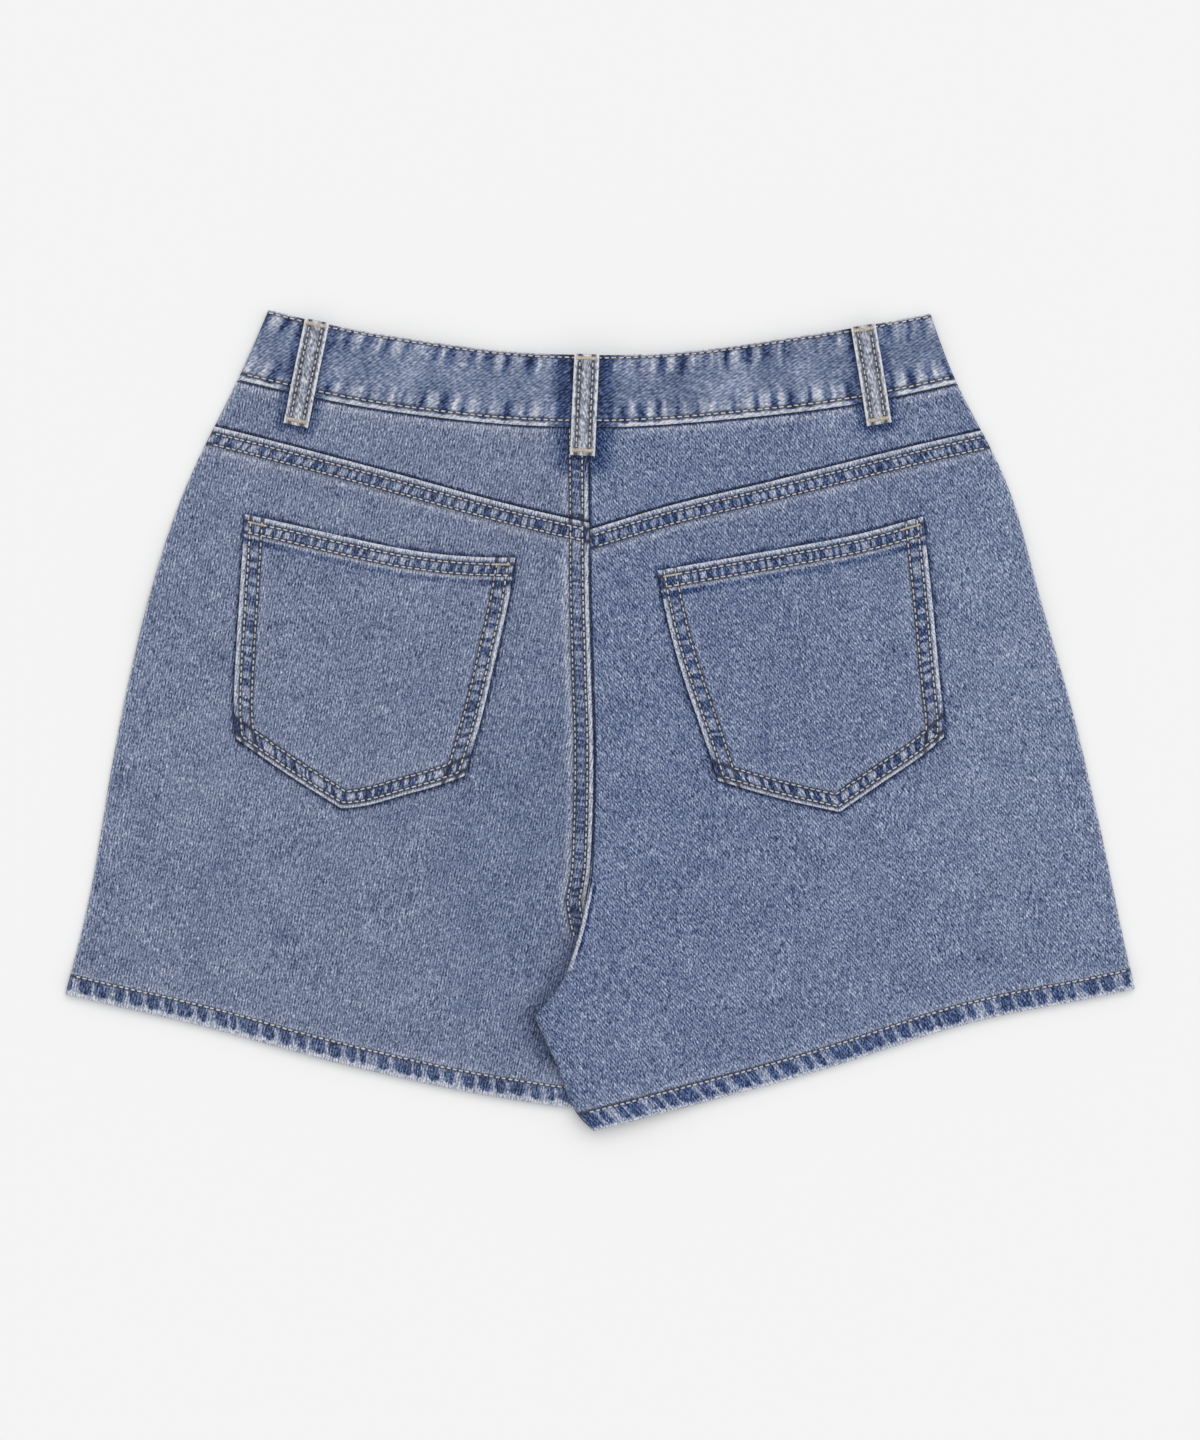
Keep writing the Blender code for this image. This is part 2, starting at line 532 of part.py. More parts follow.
def waistband_half(side, material):
    """Half of the waistband, from the centre back round the side fold to the centre front."""
    left = side == "left"
    back_end = SEAT_SEAM[0][0] + (0 if left else GAP)
    front_end = TAB_END if left else UNDERLAP_END
    side_line = left_side if left else right_side
    side_line = side_line.between(0, side_line.fraction_at(1, waist_seam.points[0 if left else -1][1]))
    halves = []
    for top, bottom, end, columns in ((waist_top, waist_seam, back_end, 11),
                                      (front_top, front_seam, front_end, 15)):
        top = top.between(*ends_at(top, side, end))
        bottom = bottom.between(*ends_at(bottom, side, end))
        inner = -1 if left else 0
        middle_line = Line((top.points[inner], bottom.points[inner]))
        edges = (side_line, middle_line) if left else (middle_line, side_line)
        stops = {"left" if left else "right": ROLL_STOPS}
        halves.append(Patch(top, bottom, *edges).grid(columns, 3, top=FOLD_STOPS, bottom=FOLD_STOPS, **stops))
    back, front = halves
    pressed_edge = 0.35
    soft_back = pressed_edge * (2 - ease(back.to_top / 0.8) - ease(back.to_bottom / 0.8))
    back_z = back_inner(back.x, back.y, side) + BAND - soft_back
    front_z = front_face(front.x, front.y, side)
    if not left:
        front_z = front_z + (BAND + GAP) * ease((TAB_END + 30 - front.x) / 20)
    sheets = []
    for sheet, z in ((back, back_z), (front, front_z)):
        lowest = front_face(sheet.x, sheet.y, side)
        middle = (back_inner(sheet.x, sheet.y, side) + BAND + lowest) / 2
        sheets.append((sheet.x, sheet.y, rolled(z, middle, sheet.to_left if left else sheet.to_right)))
    if left:
        joined = [np.concatenate([front[:0:-1], back]) for back, front in zip(*sheets)]
    else:
        joined = [np.concatenate([back, front[-2::-1]]) for back, front in zip(*sheets)]
    return cloth_object(f"waistband_{side}", *joined, material, wall=BAND)


def belt_loop(name, foot, head, surface, material):
    """A stitched strap that lies on its two ends and arches a little between them.

    With no surface under it, it is a front loop, which lies flat on the table.
    """
    foot, head = np.array(foot), np.array(head)
    length = np.hypot(*(head - foot))
    along = (head - foot) / length
    across = np.array([along[1], -along[0]]) * (1 if surface else -1)
    half = LOOP_WIDTH / 2
    offsets = np.array([-half, -half + 0.8, 0.0, half - 0.8, half])
    runs = np.concatenate([[0, 0.8, 5], np.linspace(12, length - 12, 6), [length - 5, length - 0.8, length]])
    run, off = np.meshgrid(runs[::-1], offsets)
    x = foot[0] + run * along[0] + off * across[0]
    y = foot[1] + run * along[1] + off * across[1]
    if surface is None:
        return cloth_object(name, x, y, 0 * x, material, wall=LOOP_CLOTH - 2 * SLACK)
    arch = LOOP_ARCH * np.sin(math.pi * run / length) ** 2
    soft = 0.4 * ((np.abs(off) > half - 0.4) | (run < 0.4) | (run > length - 0.4))
    turned_under = 0.5 * np.maximum(ease((9 - run) / 6), ease((run - length + 9) / 6)) * (1 - soft)
    z = surface(x, y) + 2 * GAP + arch + LOOP_CLOTH + FOLD * turned_under - soft
    return cloth_object(name, x, y, z, material, wall=LOOP_CLOTH, fold=turned_under)


def back_surface(x, y):
    """Outer face of the back under a belt loop: the yoke, then the thicker waistband."""
    on_band = ease((y - waist_seam.y_at(x) + 5.5) / 5)
    on_seat = near(np.abs(x - seat_seam.x_at(y) + SEAT_BAND / 2), SEAT_BAND / 2 + 1, 3)
    side = "left" if np.mean(x) < 0 else "right"
    return back_inner(x, y, side) + CLOTH + FOLD * np.maximum(on_band, on_seat)


# ---- Front ---------------------------------------------------------------------------------
def front_panel(side, material):
    """Front leg panel, cut away by the pocket scoop; its outer face lies on the table."""
    left = side == "left"
    scoop = scoop_left if left else scoop_right
    seam = front_seam.moved(-GAP)
    hem = hem_left if left else hem_right
    outer = left_side if left else right_side
    outer = outer.between(outer.fraction_at(1, scoop.points[-1][1]), 1)
    start = seam.fraction_at(0, scoop.points[0][0])
    if left:
        waist = seam.between(start, seam.fraction_at(0, 0.0))
        top = scoop.reversed().then(waist)
        inner = Line(np.concatenate([[waist.points[-1]], front_centre.points[4:]]), smooth=False)
        inner = inner.then(under_inner)
        patch = Patch(top, hem, outer, inner)
        cloth = patch.grid(14, 13, left=ROLL_STOPS, right=ROLL_STOPS, bottom=band_stops(HEM_DEPTH))
    else:
        waist = seam.between(seam.fraction_at(0, GAP), start)
        top = waist.then(scoop)
        clear = GAP + 0.7 * near(np.abs(front_centre.points[:, 1] - CROSSING), 16, 30)
        inner = Line(np.concatenate([[waist.points[0]], front_centre.moved(clear).points[4:]]), smooth=False)
        inner = inner.then(top_inner.moved(clear[-1]))
        patch = Patch(top, hem, inner, outer)
        cloth = patch.grid(11, 13, left=ROLL_STOPS + RAMP_STOPS, right=ROLL_STOPS,
                           bottom=band_stops(HEM_DEPTH))
    to_outer, to_inner = (cloth.to_left, cloth.to_right) if left else (cloth.to_right, cloth.to_left)
    fold = near(cloth.to_bottom, HEM_DEPTH - FELL_SLOPE, FELL_SLOPE)
    bottom = front_face(cloth.x, cloth.y, side)
    top_face = back_inner(cloth.x, cloth.y, side) + CLOTH + FOLD * fold
    middle = (bottom + top_face) / 2 - SIDE_GAP / 2
    z = rolled(bottom, middle, to_outer)
    z = rolled(z, middle, to_inner, INSEAM_ROLL[side] * ease((CROSSING + 1 - cloth.y) / 9))
    return cloth_object(f"front_{side}", cloth.x[::-1], cloth.y[::-1], z[::-1], material, fold=fold[::-1])


def front_pocket_facing(side, material):
    """Cloth that shows in the scoop, flush at the side and waist and slipped under the panel."""
    left = side == "left"
    scoop = scoop_left if left else scoop_right
    end_gap = 0.9
    depth = (FACING_TUCK + end_gap) * ease((scoop.length - scoop.reach - 13) / 18) - end_gap
    under = scoop.moved(depth if left else -depth)
    seam = front_seam.moved(-GAP)
    outer = left_side if left else right_side
    seam_end = seam.fraction_at(0, under.points[0][0])
    low = outer.fraction_at(1, under.points[-1][1])
    corner = outer.fraction_at(1, seam.points[0 if left else -1][1])
    outer = outer.between(corner, low)
    first, second = under.between(0, 0.5), under.between(0.5, 1)
    first = Line(np.concatenate([[seam.at(seam_end)], first.points[3:]]), smooth=False)
    second = Line(np.concatenate([second.points[:-3], [outer.points[-1]]]), smooth=False)
    if left:
        patch = Patch(seam.between(0, seam_end), second.reversed(), outer, first)
        cloth = patch.grid(7, 8, left=ROLL_STOPS)
        to_outer = cloth.to_left
    else:
        patch = Patch(seam.between(seam_end, 1), second, first, outer)
        cloth = patch.grid(7, 8, right=ROLL_STOPS)
        to_outer = cloth.to_right
    tuck = near(under.distance(cloth.x, cloth.y), 15.5, 9)
    bottom = front_face(cloth.x, cloth.y, side)
    top_face = back_inner(cloth.x, cloth.y, side) + CLOTH
    middle = (bottom + top_face) / 2 - SIDE_GAP / 2
    z = rolled(bottom, middle, to_outer)
    z = np.maximum(z, bottom + (CLOTH + GAP + 2 * SLACK) * tuck * ease((to_outer - 4) / 8))
    return cloth_object(f"front_pocket_facing_{side}", cloth.x[::-1], cloth.y[::-1], z[::-1], material)


def flat_strip(name, x_range, y_range, above, wall, material, columns=3, rows=12):
    """An upright strip of cloth inside the front, above its outer face."""
    x_stops = np.linspace(*x_range, columns + 1)[::-1]
    y_stops = np.linspace(*y_range, rows + 1)[::-1]
    x, y = np.meshgrid(x_stops, y_stops, indexing="ij")
    return cloth_object(name, x, y, front_face(x, y, "left") + above, material, wall=wall)


def shank_button(material):
    """Flat-rimmed metal button with its face on the table and its shank in the waistband."""
    x, y = BUTTON_PLACE
    profile = ((0.0, 1.2), (3.6, 0.9), (5.0, 0.35), (6.4, 0.0), (7.6, 0.0), (8.3, 0.3), (BUTTON_RADIUS, 1.0),
               (8.1, 1.8), (6.6, BUTTON_HEAD), (SHANK_RADIUS, BUTTON_HEAD), (SHANK_RADIUS, SHANK_TOP),
               (0.0, SHANK_TOP))
    data = bpy.data.meshes.new("button")
    mesh = bmesh.new()
    points = [mesh.verts.new((r * MM, 0, z * MM)) for r, z in profile]
    for a, b in zip(points, points[1:]):
        mesh.edges.new((a, b))
    mesh.to_mesh(data)
    mesh.free()
    data.materials.append(material)
    obj = bpy.data.objects.new("button", data)
    obj.location = (x * MM, y * MM, 0)
    garment.objects.link(obj)
    screw = obj.modifiers.new("turned", "SCREW")
    screw.steps = screw.render_steps = 24
    screw.use_merge_vertices = True
    screw.merge_threshold = 0.00001
    screw.use_normal_calculate = True
    return obj


def buttonhole(waistband):
    """Slot through the fastened tab, which the shank stands in."""
    x, y = BUTTON_PLACE
    length, width = BUTTONHOLE
    mesh = bmesh.new()
    bmesh.ops.create_cube(mesh, size=MM)
    bmesh.ops.scale(mesh, vec=(length, width, 6.0), verts=mesh.verts)
    data = bpy.data.meshes.new("buttonhole_cutter")
    mesh.to_mesh(data)
    mesh.free()
    cutter = bpy.data.objects.new("buttonhole_cutter", data)
    cutter.location = ((x + 4.0 - length / 2) * MM, y * MM, 4.0 * MM)
    cutters.objects.link(cutter)
    cutter.hide_render = True
    cutter.display_type = "WIRE"
    cut = waistband.modifiers.new("buttonhole", "BOOLEAN")
    cut.operation = "DIFFERENCE"
    cut.object = cutter


# ---- The garment ---------------------------------------------------------------------------
for leftover in list(bpy.data.objects):
    bpy.data.objects.remove(leftover, do_unlink=True)
garment = start_collection("denim_shorts")
cutters = start_collection("cutters")

denim = finish("washed denim, left side", (0.165, 0.198, 0.300), 0.92)
denim_blue = finish("washed denim, right side", (0.150, 0.196, 0.314), 0.92)
denim_band = finish("washed denim, waistband", (0.190, 0.222, 0.316), 0.92)
denim_worn = finish("worn denim, belt loops", (0.300, 0.330, 0.400), 0.92)
metal = finish("aged brass", (0.42, 0.30, 0.16), 0.35, 1.0)
tape = finish("zip tape, navy", (0.02, 0.03, 0.07), 0.8)

for side_name, cloth_finish in (("left", denim), ("right", denim_blue)):
    back_panel(side_name, cloth_finish)
    yoke_panel(side_name, cloth_finish)
    back_pocket(side_name, cloth_finish)
    front_panel(side_name, cloth_finish)
    front_pocket_facing(side_name, cloth_finish)
tab = waistband_half("left", denim_band)
waistband_half("right", denim_band)
buttonhole(tab)
for loop_name, *place in BACK_LOOPS:
    belt_loop(loop_name, place[:2], place[2:], back_surface, denim_worn)
for loop_name, *place in FRONT_LOOPS:
    belt_loop(loop_name, place[:2], place[2:], None, denim_worn)
fly_foot = FLY_TOP - FLY_LENGTH
zip_above = CLOTH + GAP + 2 * SLACK
shield_above = zip_above + ZIP_WALL + GAP
flat_strip("zip", (-ZIP_WIDTH / 2, ZIP_WIDTH / 2), (fly_foot + 16, FLY_TOP), zip_above, ZIP_WALL, tape)
flat_strip("fly_shield", (8 - FLY_WIDTH, 16), (fly_foot + 2, FLY_TOP), shield_above, CLOTH, denim)
shank_button(metal)
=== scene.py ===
"""Looks of the denim shorts: fine cloth shells on the solids' own forms, their wear and sewing.

Sizes are in millimetres until a mesh is made, where MM turns them into metres.
"""

import math

import bmesh
import bpy
import numpy as np
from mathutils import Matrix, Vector
from mathutils.bvhtree import BVHTree


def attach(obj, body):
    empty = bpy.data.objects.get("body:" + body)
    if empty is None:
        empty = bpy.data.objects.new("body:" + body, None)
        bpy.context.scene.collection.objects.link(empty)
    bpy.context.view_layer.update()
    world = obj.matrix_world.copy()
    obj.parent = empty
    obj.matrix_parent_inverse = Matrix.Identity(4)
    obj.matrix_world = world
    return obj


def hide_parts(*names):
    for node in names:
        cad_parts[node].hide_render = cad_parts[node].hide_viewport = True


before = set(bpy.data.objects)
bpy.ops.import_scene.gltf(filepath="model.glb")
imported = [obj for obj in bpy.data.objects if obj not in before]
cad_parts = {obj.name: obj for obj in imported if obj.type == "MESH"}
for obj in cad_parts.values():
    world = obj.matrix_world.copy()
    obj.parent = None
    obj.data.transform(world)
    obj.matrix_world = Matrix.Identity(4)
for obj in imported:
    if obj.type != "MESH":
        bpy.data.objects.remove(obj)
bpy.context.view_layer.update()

MM = 0.001
BODY = "root"

# ---- Sizes of the garment, as in the part's source -----------------------------------------
CLOTH = 1.2             # one layer of denim
FOLD = 1.0              # what a turned or felled edge adds to the layer
BAND = CLOTH + FOLD     # waistband, hems and seam bands
GAP = 0.3               # between pieces that meet or lie on each other
SLACK = 0.1             # added to the gap where a piece crosses the steps of a seam band
SEAM_AIR = 0.5          # air between front and back at the seams
LOFT = 1.4              # more air away from the seams
PRESSED_AIR = 0.4       # air in the left leg where the right leg lies on it
HELD_AIR = 1.1          # air in the right leg where it lies on the left leg
ROLL = 2.3              # width of the rounded side folds
SIDE_GAP = 0.8          # between the rounded edges of front and back
HEM_DEPTH = 12.0
YOKE_BAND = 11.6        # felled yoke seam
SEAT_BAND = 9.8         # felled seat seam
POCKET_HEM = 11.0
POCKET_BAND = 9.0
POCKET_CLOTH = 1.1
FACING_TUCK = 11.1      # how far a front pocket's facing is slipped under the front
LOOP_WIDTH = 13.0
LOOP_CLOTH = 1.8
LOOP_ARCH = 1.0         # slack of a belt loop over the waistband
BUTTON_RADIUS = 8.5
BUTTON_HEAD = 2.2
SHANK_RADIUS = 1.5
SHANK_TOP = 4.6
BUTTONHOLE = (20.0, 3.6)
FLY_WIDTH = 36.0
FLY_LENGTH = 140.0
FLY_TOP = 131.0
ZIP_WIDTH = 24.0
ZIP_WALL = 0.7
TAB_END = 16.0          # the fastened waistband tab ends this far past the centre front
UNDERLAP_END = -14.0    # and the other half runs under it to here
CREEP = 44.0            # how far the cloth takes to come down from what holds it up
CLIMB = 56.0            # and the right leg to climb onto the left leg
CLIMB_TOP = -34.0       # where that starts

# ---- Outline and seams in plan: x, y -------------------------------------------------------
LEFT_SIDE = ((-172.4, 213.2), (-188.4, 177.0), (-201.0, 151.8), (-215.0, 122.2), (-232.7, 70.2),
             (-245.7, 18.2), (-255.6, -33.8), (-264.4, -85.8), (-270.4, -113.0), (-278.2, -142.5))
RIGHT_SIDE = ((171.9, 211.3), (185.6, 175.3), (197.4, 152.4), (211.9, 122.2), (227.0, 70.2),
              (242.1, 18.2), (255.1, -33.8), (266.5, -85.8), (272.1, -113.0), (278.2, -139.7))
WAIST_TOP = ((-172.4, 213.2), (-140.1, 205.4), (-95.9, 197.6), (-51.7, 191.9), (-6.0, 189.5),
             (31.5, 190.3), (63.1, 193.4), (99.1, 198.6), (131.0, 203.6), (171.9, 211.3))
WAIST_SEAM = ((-188.4, 177.0), (-140.1, 166.0), (-95.9, 158.6), (-51.7, 153.9), (-6.0, 151.8),
              (31.5, 153.1), (63.1, 155.8), (134.9, 164.6), (185.6, 175.3))
FRONT_TOP = ((-172.4, 213.2), (-140.0, 201.5), (-95.0, 187.0), (-50.0, 176.0), (0.0, 171.5),
             (50.0, 175.5), (95.0, 186.0), (140.0, 200.0), (171.9, 211.3))
FRONT_SEAM = ((-188.4, 177.0), (-140.0, 161.5), (-95.0, 148.0), (-50.0, 138.0), (0.0, 133.5),
              (50.0, 137.5), (95.0, 147.0), (140.0, 160.0), (185.6, 175.3))
YOKE_SEAM_LEFT = ((-200.6, 152.7), (-178.6, 147.2), (-145.3, 138.5), (-93.3, 124.4), (-30.9, 107.9),
                  (-5.6, 102.2))
YOKE_SEAM_RIGHT = ((-5.6, 98.8), (10.0, 103.6), (40.5, 112.5), (76.5, 121.0), (116.7, 130.9),
                   (162.5, 142.4), (198.4, 150.6))
SEAT_SEAM = ((-6.0, 151.8), (-5.6, 102.2), (-5.3, 62.4), (-4.7, 41.6), (-4.2, 20.8), (-3.4, 0.0),
             (-3.1, -22.0), (-3.4, -46.0), (-4.2, -70.0), (-5.4, -84.0), (-7.3, -94.0))
FRONT_CENTRE = ((0.0, 133.5), (-0.4, 80.0), (-1.6, 10.0), (-3.4, -52.0))
TOP_CROTCH = ((-7.3, -94.0), (-10.1, -107.0), (-15.9, -126.4), (-21.6, -138.8), (-27.8, -146.6),
              (-34.1, -154.2))
TOP_INSEAM = ((-34.1, -154.2), (-28.3, -167.0), (-21.9, -181.0), (-14.3, -200.7), (-9.6, -207.4),
              (-3.2, -213.5))
UNDER_CROTCH = ((-7.3, -94.0), (-4.6, -108.0), (3.4, -125.0), (17.4, -145.0))
UNDER_INSEAM = ((17.4, -145.0), (11.0, -176.0), (6.5, -203.6))
HEM_LEFT = ((-278.2, -142.5), (-246.7, -149.9), (-207.7, -158.9), (-155.7, -173.2),
            (-106.3, -185.4), (-72.5, -192.7), (-43.9, -197.6), (-13.8, -201.8), (6.5, -203.6))
HEM_RIGHT = ((-3.2, -213.5), (32.2, -204.4), (69.4, -194.8), (106.5, -184.6), (143.6, -172.9),
             (180.8, -160.8), (217.9, -151.8), (255.1, -144.8), (278.2, -139.7))
POCKETS = {
    "left": {
        "mouth": ((-184.4, 106.9), (-155.7, 100.5), (-124.5, 93.3), (-93.3, 87.4), (-62.1, 84.6),
                  (-44.0, 84.2)),
        "left": ((-184.4, 106.9), (-187.2, 62.4), (-189.8, 20.8), (-189.9, 0.0), (-188.9, -9.7)),
        "right": ((-44.0, 84.2), (-47.5, 62.4), (-52.0, 41.6), (-61.9, 0.0), (-70.5, -29.1)),
        "foot_left": ((-188.9, -9.7), (-162.0, -28.4), (-134.4, -45.9)),
        "foot_right": ((-134.4, -45.9), (-124.5, -44.9), (-103.7, -39.5), (-82.9, -33.6),
                       (-70.5, -29.1)),
    },
    "right": {
        "mouth": ((29.8, 77.5), (73.1, 85.2), (114.7, 92.5), (135.5, 96.8), (156.3, 102.4),
                  (167.6, 105.7)),
        "left": ((29.8, 77.5), (32.7, 62.4), (43.7, 20.8), (50.9, 0.0), (61.5, -31.5)),
        "right": ((167.6, 105.7), (173.6, 50.0), (177.6, 10.4), (178.6, 0.0), (178.5, -9.0)),
        "foot_left": ((61.5, -31.5), (92.0, -40.4), (124.5, -47.8)),
        "foot_right": ((124.5, -47.8), (151.0, -29.6), (170.0, -16.3), (178.5, -9.0)),
    },
}
SCOOP = ((-104.0, 150.4), (-110.0, 122.0), (-134.0, 92.0), (-175.0, 73.0), (-234.2, 66.0))
# Belt loops: name, foot and head
BACK_LOOPS = (("left", (-158.1, 153.0), (-146.8, 207.4)), ("centre", (-9.1, 137.0), (-6.8, 189.8)),
              ("right", (145.1, 153.6), (136.6, 204.9)))
FRONT_LOOPS = (("left", (-88.0, 128.0), (-101.0, 188.0)), ("right", (88.0, 127.0), (101.0, 187.0)))
BUTTON_PLACE = (2.0, 152.5)
# The buttonhole, whose end lies 4 mm past the button's middle
SLOT_X = (BUTTON_PLACE[0] + 4.0 - BUTTONHOLE[0], BUTTON_PLACE[0] + 4.0)
SLOT_Y = (BUTTON_PLACE[1] - BUTTONHOLE[1] / 2, BUTTON_PLACE[1] + BUTTONHOLE[1] / 2)
FLY_INSETS = (0.0, 6.0)         # the rows that hold the fly facing, the outer one first
FLY_BEND = (-5.0, 30.0)         # middle of the curve on which they turn to the centre
FLY_RADII = (27.5, 34.0)        # its radii across and down
FLY_ROW_TOP = 130.0

# ---- Sewing --------------------------------------------------------------------------------
YOKE_ROWS = (3.6, 9.4)          # distances of the stitch rows from the folded edge
SEAT_ROWS = (3.5, 9.7)
MOUTH_ROWS = (3.6, 9.1)
POCKET_SIDE_ROWS = (3.3, 9.2)
POCKET_FOOT_ROWS = (2.8, 8.6)
HEM_ROW = 10.3
WAIST_TOP_ROW = 1.5
WAIST_FOOT_ROW = 3.5
WAIST_TOP_EDGE = 0.6            # width of the white edge outside the row
WAIST_FOOT_EDGE = 1.4
LOOP_ROW = 3.4                  # from the middle of a loop to each of its rows
SCOOP_ROWS = (2.0, 8.4)
ROW_DENT = 0.28                 # how far a row of stitches draws the cloth in
ROW_SHADE_HALF_WIDTH = 0.65               # half the width of the painted shade line in which it lies
SEAM_PITCH = 3.25               # from one stitch to the next
MOUTH_PITCH = 3.55
FOOT_PITCH = 3.4
BAND_PITCH = 3.8
BAND_PERIOD = 9.0               # from one pucker of the waistband to the next
SHOWN = 0.76                    # share of the pitch where the thread lies on the cloth
THREAD = 0.43                   # radius of the thread as it lies, pressed flat by the needle's pull
THREAD_HEIGHT = 0.36
HEM_THREAD = 0.5                # the hem's row lies thicker: its lower thread is drawn up
TACK_THREAD = 0.3
TABLE_TOUCH = 0.02              # nothing reaches lower than this over the table
TWILL_PITCH = 1.5               # from one diagonal to the next as drawn

# ---- Where the cloth gets its points, and how its edges are rounded ------------------------
FINE = 1.9                      # from point to point on the back
COARSE = 2.4                    # and on the front
BACK_LEG = (250.0, 265.0)       # width and length over which these points are spread
FRONT_LEG = (240.0, 250.0)
HALF_WAIST = 175.0
POCKET = 110.0
NEAR_EDGE = (0.0, 0.7, 1.5, 2.6)
WAIST_TOP_STOPS = (0.0, 0.3, 0.8, 1.2, WAIST_TOP_ROW, 2.1, 2.8, 3.8)
WAIST_FOOT_STOPS = (0.0, 0.3, 0.8, 1.4, 2.0, 2.6, 3.0, WAIST_FOOT_ROW, 4.0, 4.6, 5.5)
ROLL_ANGLES = (0.0, 6.0, 17.0, 28.0, 39.0, 50.0, 61.0, 72.0, 81.0, 90.0)
ROLL_STOPS = tuple(ROLL * (1 - math.cos(math.radians(a))) for a in ROLL_ANGLES)
FOLD_ROUND = 0.8                # how far in a folded edge is rounded
FELL_SLOPE = 0.9                # width of the slope where a fold ends under the cloth
INSEAM_ROLL = {"left": 0.6, "right": 1.0}       # roundness of the inner edges, 1 as at the sides
PRESSED_EDGE = 0.35             # how much the waistband's edges are rounded down
FAR_AWAY = 40.0                 # stands for a place beside no seam
TOUCH = 0.05                    # keeps the edges of the two front halves apart
SCOOP_RUN = (104.0, 130.0)      # where a scoop starts from the centre, and how wide it is

# ---- Creases: from x, y to x, y, half width, height (troughs are negative) ------------------
BACK_CREASES = (
    (-42.9, 52.0, -49.1, -20.8, 3.0, 0.55), (-38.2, -160.0, -38.4, -188.0, 3.2, -0.5),
    (10.7, 62.4, 31.5, -20.8, 3.6, 0.4), (-20.5, -112.0, 21.0, -151.0, 4.2, 0.5),
    (-4.0, -128.0, 38.0, -158.0, 3.6, -0.35), (-26.0, -150.0, 16.0, -170.0, 4.4, 0.3),
    (-214.0, 30.0, -222.0, -40.0, 5.0, 0.35), (-230.0, -70.0, -216.0, -128.0, 5.5, -0.35),
    (-150.0, -70.0, -128.0, -138.0, 6.5, 0.4), (-92.0, -62.0, -108.0, -120.0, 5.0, -0.35),
    (-60.0, -60.0, -44.0, -120.0, 4.5, 0.35), (206.0, 84.0, 214.0, 20.0, 5.0, 0.35),
    (232.0, -30.0, 226.0, -100.0, 5.5, -0.4), (150.0, -72.0, 166.0, -140.0, 6.0, 0.4),
    (88.0, -66.0, 76.0, -132.0, 5.5, -0.35), (44.0, -64.0, 60.0, -110.0, 4.5, 0.3),
    (-176.0, 138.0, -150.0, 120.0, 3.5, 0.3), (178.0, 134.0, 156.0, 120.0, 3.5, 0.3),
    (5.0, 186.0, 13.5, 172.0, 1.3, 0.35), (-120.0, 60.0, -112.0, -10.0, 6.0, 0.3),
    (96.0, 62.0, 108.0, -8.0, 6.0, 0.3), (-40.0, 140.0, -70.0, 128.0, 4.0, -0.25),
)
FRONT_CREASES = (
    (-14.0, -96.0, -78.0, -70.0, 4.0, 0.5), (-12.0, -112.0, -84.0, -104.0, 4.5, 0.35),
    (6.0, -92.0, 70.0, -64.0, 4.0, 0.45), (12.0, -110.0, 82.0, -100.0, 4.6, 0.35),
    (-60.0, 60.0, -120.0, 30.0, 5.0, 0.4), (60.0, 58.0, 124.0, 26.0, 5.0, 0.35),
    (-150.0, -20.0, -170.0, -96.0, 6.0, 0.45), (152.0, -24.0, 168.0, -100.0, 6.0, 0.4),
    (-92.0, -130.0, -84.0, -176.0, 5.0, 0.35), (96.0, -120.0, 88.0, -168.0, 5.0, 0.35),
)

# Broad zones that the wash left darker or paler: x, y, half width, half height, dye
WASH_ZONES = ((-48.0, -70.0, 42.0, 130.0, 0.12), (40.0, -20.0, 50.0, 150.0, 0.07),
              (220.0, 10.0, 50.0, 140.0, -0.1))


# ---- Curves and patches in plan ------------------------------------------------------------
def ease(value):
    """Smooth step from 0 to 1."""
    t = np.clip(value, 0.0, 1.0)
    return t * t * (3 - 2 * t)


def near(distance, full, fade):
    """1 up to the full distance, easing to 0 over the fade."""
    return 1 - ease((distance - full) / fade)


def within(value, low, high, fade):
    """1 between two values, easing to 0 over the fade outside them."""
    return ease((value - low + fade) / fade) * near(value, high, fade)


